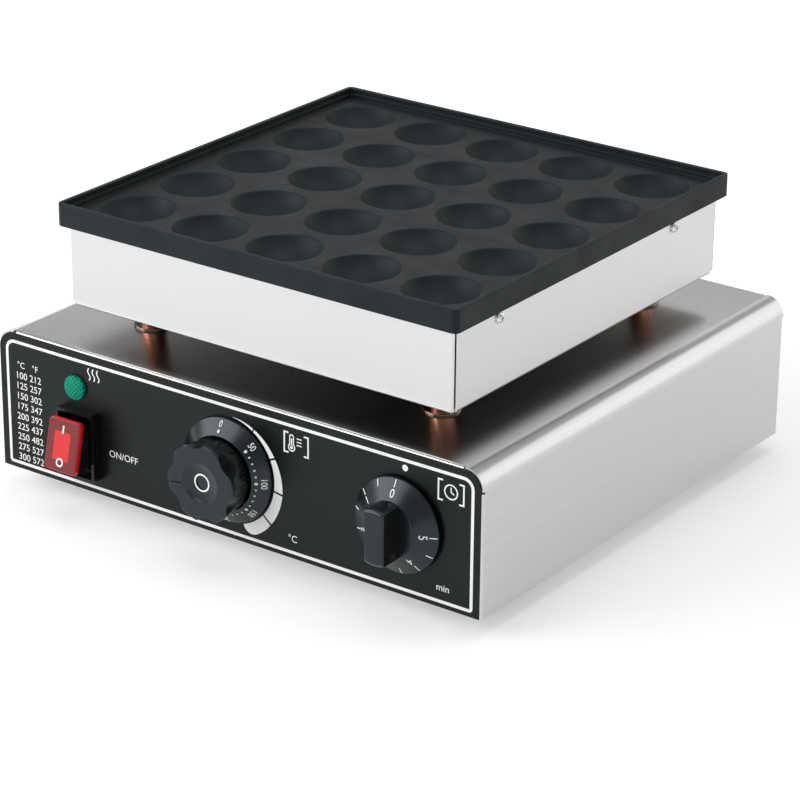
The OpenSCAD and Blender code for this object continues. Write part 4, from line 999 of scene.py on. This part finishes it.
def panel_border():
    """Line round the panel: a rectangle with wide arcs above and narrow ones below."""
    left, right, low, high = BORDER_LEFT, BORDER_RIGHT, BORDER_LOW, BORDER_HIGH
    foot, top = BORDER_FOOT_R, BORDER_TOP_R
    path = np.concatenate([
        arc((left + foot, low + foot), foot, 180, 270, 7),
        arc((right - foot, low + foot), foot, 270, 360, 7),
        arc((right - top, high - top), top, 0, 90, 9),
        arc((left + top, high - top), top, 90, 180, 9),
    ])
    return [stroke(path, BORDER_WIDE, closed=True)]


def conversion_table():
    """Degrees Celsius in even steps, and beside them the same heat in Fahrenheit: 9/5 of it and 32."""
    marks = []
    for unit, x in TABLE_COLUMNS:
        marks.append(word(unit, TABLE_HEAD_HIGH, x, TABLE_HEAD))
        for k in range(TABLE_ROWS):
            heat = TABLE_FIRST + TABLE_STEP * k
            value = heat if unit == "°C" else round(heat * 9 / 5 + 32)
            marks.append(word(str(value), TABLE_HIGH, x, TABLE_TOP - TABLE_PITCH * k))
    return marks


def heat_waves():
    """Three upright strokes side by side, each one turn of a sine."""
    x, z = WAVES_AT
    t = np.linspace(0, 1, 17)
    swing = WAVE_SWING * np.sin(2 * math.pi * t)
    return [stroke(np.stack([x + WAVES_PITCH * k + swing, z + WAVE_TALL * t], 1), WAVE_WIDE)
            for k in range(3)]


def brackets(x, z):
    """A pair of square brackets round a sign at x and z."""
    marks = []
    for side in (-1, 1):
        foot, back = x + side * BRACKET_FOOT, x + side * BRACKET_HALF_W
        top, low = z + BRACKET_HALF_H, z - BRACKET_HALF_H
        marks.append(stroke([(foot, top), (back, top), (back, low), (foot, low)], BRACKET_WIDE))
    return marks


def thermometer():
    """Outline of a tube on a bulb, two arcs joined by straight sides; a rod and a dot fill it, and
    three short lines stand beside it."""
    x, z = BULB
    tube = arc((x, z + TUBE_TALL), TUBE_R, 0, 180, 9)
    bulb = arc(BULB, BULB_R, BULB_START, BULB_END, 25)
    marks = [stroke(np.concatenate([tube, bulb]), TUBE_WIDE, closed=True), dot(x, z, BULB_DOT)]
    marks.append(stroke([(x, z + ROD_LOW), (x, z + ROD_HIGH)], ROD_WIDE))
    for k in range(3):
        up = z + BAR_LOW + BAR_PITCH * k
        marks.append(stroke([(x + BAR_LEFT, up), (x + BAR_RIGHT, up)], BAR_WIDE))
    return marks


def clock():
    """A circle with two hands."""
    ring = stroke(circle(CLOCK_SIGN, CLOCK_R, 40), CLOCK_WIDE, closed=True)
    return [ring, stroke(np.add(CLOCK_SIGN, HANDS), HAND_WIDE)]


def crescent():
    """Strip round the temperature ring, cut into parts: its width grows with the turn along straight
    lines and falls to nothing along a quarter of an ellipse at its end."""
    centre = np.array([dial_at.x, dial_at.z - base_z])
    marks = []
    for start, stop in CRESCENT_PARTS:
        turn = np.linspace(start, stop, 30)
        past = np.clip((turn - CRESCENT_END) / CRESCENT_ROUND, 0, 1)
        wide = np.minimum(np.interp(turn, CRESCENT_TURNS, CRESCENT_WIDTHS),
                          CRESCENT_WIDTHS[-1] * np.sqrt(1 - past ** 2))
        ray = rays(np.radians(turn)) * MM
        marks.append(band(centre + ray * CRESCENT_R, centre + ray * (CRESCENT_R + wide)[:, None]))
    return marks


def panel_printing():
    """White printing on the panel: a border, a conversion table, signs in brackets, a crescent that
    grows with the heat, units, and an index dot over the timer."""
    marks = panel_border() + conversion_table() + heat_waves()
    marks += [word(text, WORD_HIGH, x, z) for text, x, z in WORDS]
    marks.append(dot(timer_at.x / MM + INDEX_RIGHT, INDEX_UP, INDEX_R))
    marks += brackets(*HEAT_SIGN) + brackets(*CLOCK_SIGN) + thermometer() + clock() + crescent()

    def place(u, v, w):
        """Points on the panel for marks drawn from the base's middle and lower edge."""
        return on_panel(u, base_z + v, w + PANEL_LIFT)

    printed("panel_printing", marks, place, "machine", "panel_print")


baking_pan()
temperature_knob()
cap_ring()
temperature_scale()
timer_knob()
timer_scale()
rocker_cap()
lamp_lens()
panel_printing()
for node, width in EDGES.items():
    soften(node, width * MM)


# Camera, from a fit to the photograph

CAMERA = Vector((1044.97, -1442.49, 788.78)) * MM + Vector((0, mid_y, base_z))
AZIMUTH, ELEVATION, ROLL = (math.radians(v) for v in (35.85, 23.027, 0.5109))
FOCAL, SENSOR = 142.96, 36
back = Vector((math.sin(AZIMUTH) * math.cos(ELEVATION), -math.cos(AZIMUTH) * math.cos(ELEVATION),
               math.sin(ELEVATION)))
view = bpy.data.cameras.new("view")
view.lens = FOCAL
view.sensor_width = SENSOR
view.clip_start, view.clip_end = 0.05, 50
camera = bpy.data.objects.new("view", view)
bpy.context.scene.collection.objects.link(camera)
aim = back.to_track_quat("Z", "Y").to_matrix().to_4x4()
camera.matrix_world = Matrix.Translation(CAMERA) @ aim @ Matrix.Rotation(ROLL, 4, "Z")
bpy.context.scene.camera = camera


# Light and stage

AIM_AT = Vector((0, 0, 0.1))
STUDIO_LIGHT = 0.46
FLOOR_HALF = 12
FLOOR_GREY = 0.85
FLOOR_GLOW = 0.28


def lamp(name, place, wide, tall, power):
    """A soft box that looks at the object's middle."""
    light = bpy.data.lights.new(name, "AREA")
    light.shape = "RECTANGLE"
    light.size, light.size_y = wide, tall
    light.energy = power
    obj = bpy.data.objects.new(name, light)
    bpy.context.scene.collection.objects.link(obj)
    obj.location = place
    obj.rotation_mode = "QUATERNION"
    obj.rotation_quaternion = (Vector(place) - AIM_AT).to_track_quat("Z", "Y")


def sky():
    """World: an even grey studio."""
    world = bpy.data.worlds.new("studio")
    bpy.context.scene.world = world
    world.use_nodes = True
    light = world.node_tree.nodes["Background"]
    light.inputs["Color"].default_value = (1, 1, 1, 1)
    light.inputs["Strength"].default_value = STUDIO_LIGHT


def floor_white():
    """White diffuse surface with a share of its own light for camera, glossy and transmission rays:
    the largest of the three flags times FLOOR_GLOW."""
    made = bpy.data.materials.new("floor_white")
    made.use_nodes = True
    made.node_tree.nodes.clear()
    path = add(made, "ShaderNodeLightPath")
    flags = [(0, path, "Is Camera Ray"), (1, path, "Is Glossy Ray")]
    seen = add(made, "ShaderNodeMath", flags, operation="MAXIMUM")
    flags = [(0, seen, "Value"), (1, path, "Is Transmission Ray")]
    seen = add(made, "ShaderNodeMath", flags, operation="MAXIMUM")
    strength = add(made, "ShaderNodeMath", [(0, seen, "Value")], operation="MULTIPLY")
    strength.inputs[1].default_value = FLOOR_GLOW
    glow = add(made, "ShaderNodeEmission", [("Strength", strength, "Value")])
    diffuse = add(made, "ShaderNodeBsdfDiffuse", Color=(FLOOR_GREY, FLOOR_GREY, FLOOR_GREY, 1))
    both = add(made, "ShaderNodeAddShader", [(0, diffuse, "BSDF"), (1, glow, "Emission")])
    add(made, "ShaderNodeOutputMaterial", [("Surface", both, "Shader")])
    return made


def floor():
    """Pale floor that keeps the shadow: one wide square, white where it is open."""
    corners = [(x * FLOOR_HALF, y * FLOOR_HALF, 0) for x, y in ((-1, -1), (1, -1), (1, 1), (-1, 1))]
    mesh = bpy.data.meshes.new("floor")
    mesh.from_pydata(corners, [], [(0, 1, 2, 3)])
    mesh.materials.append(floor_white())
    obj = bpy.data.objects.new("floor", mesh)
    bpy.context.scene.collection.objects.link(obj)


lamp("key_box", (-1.75, -1.68, 1.36), wide=2.9, tall=1.9, power=57)
lamp("top_box", (0.1, 0.3, 2.4), wide=1.8, tall=1.8, power=16)
lamp("back_box", (1.39, 2.23, 0.9), wide=1.9, tall=1.9, power=11.5)
lamp("low_box", (-2.0, 2.0, 0.45), wide=0.7, tall=0.7, power=2.6)
lamp("high_box", (-0.9, 1.9, 1.5), wide=1.0, tall=1.0, power=1.8)
sky()
floor()
bpy.context.scene.view_settings.view_transform = "Standard"
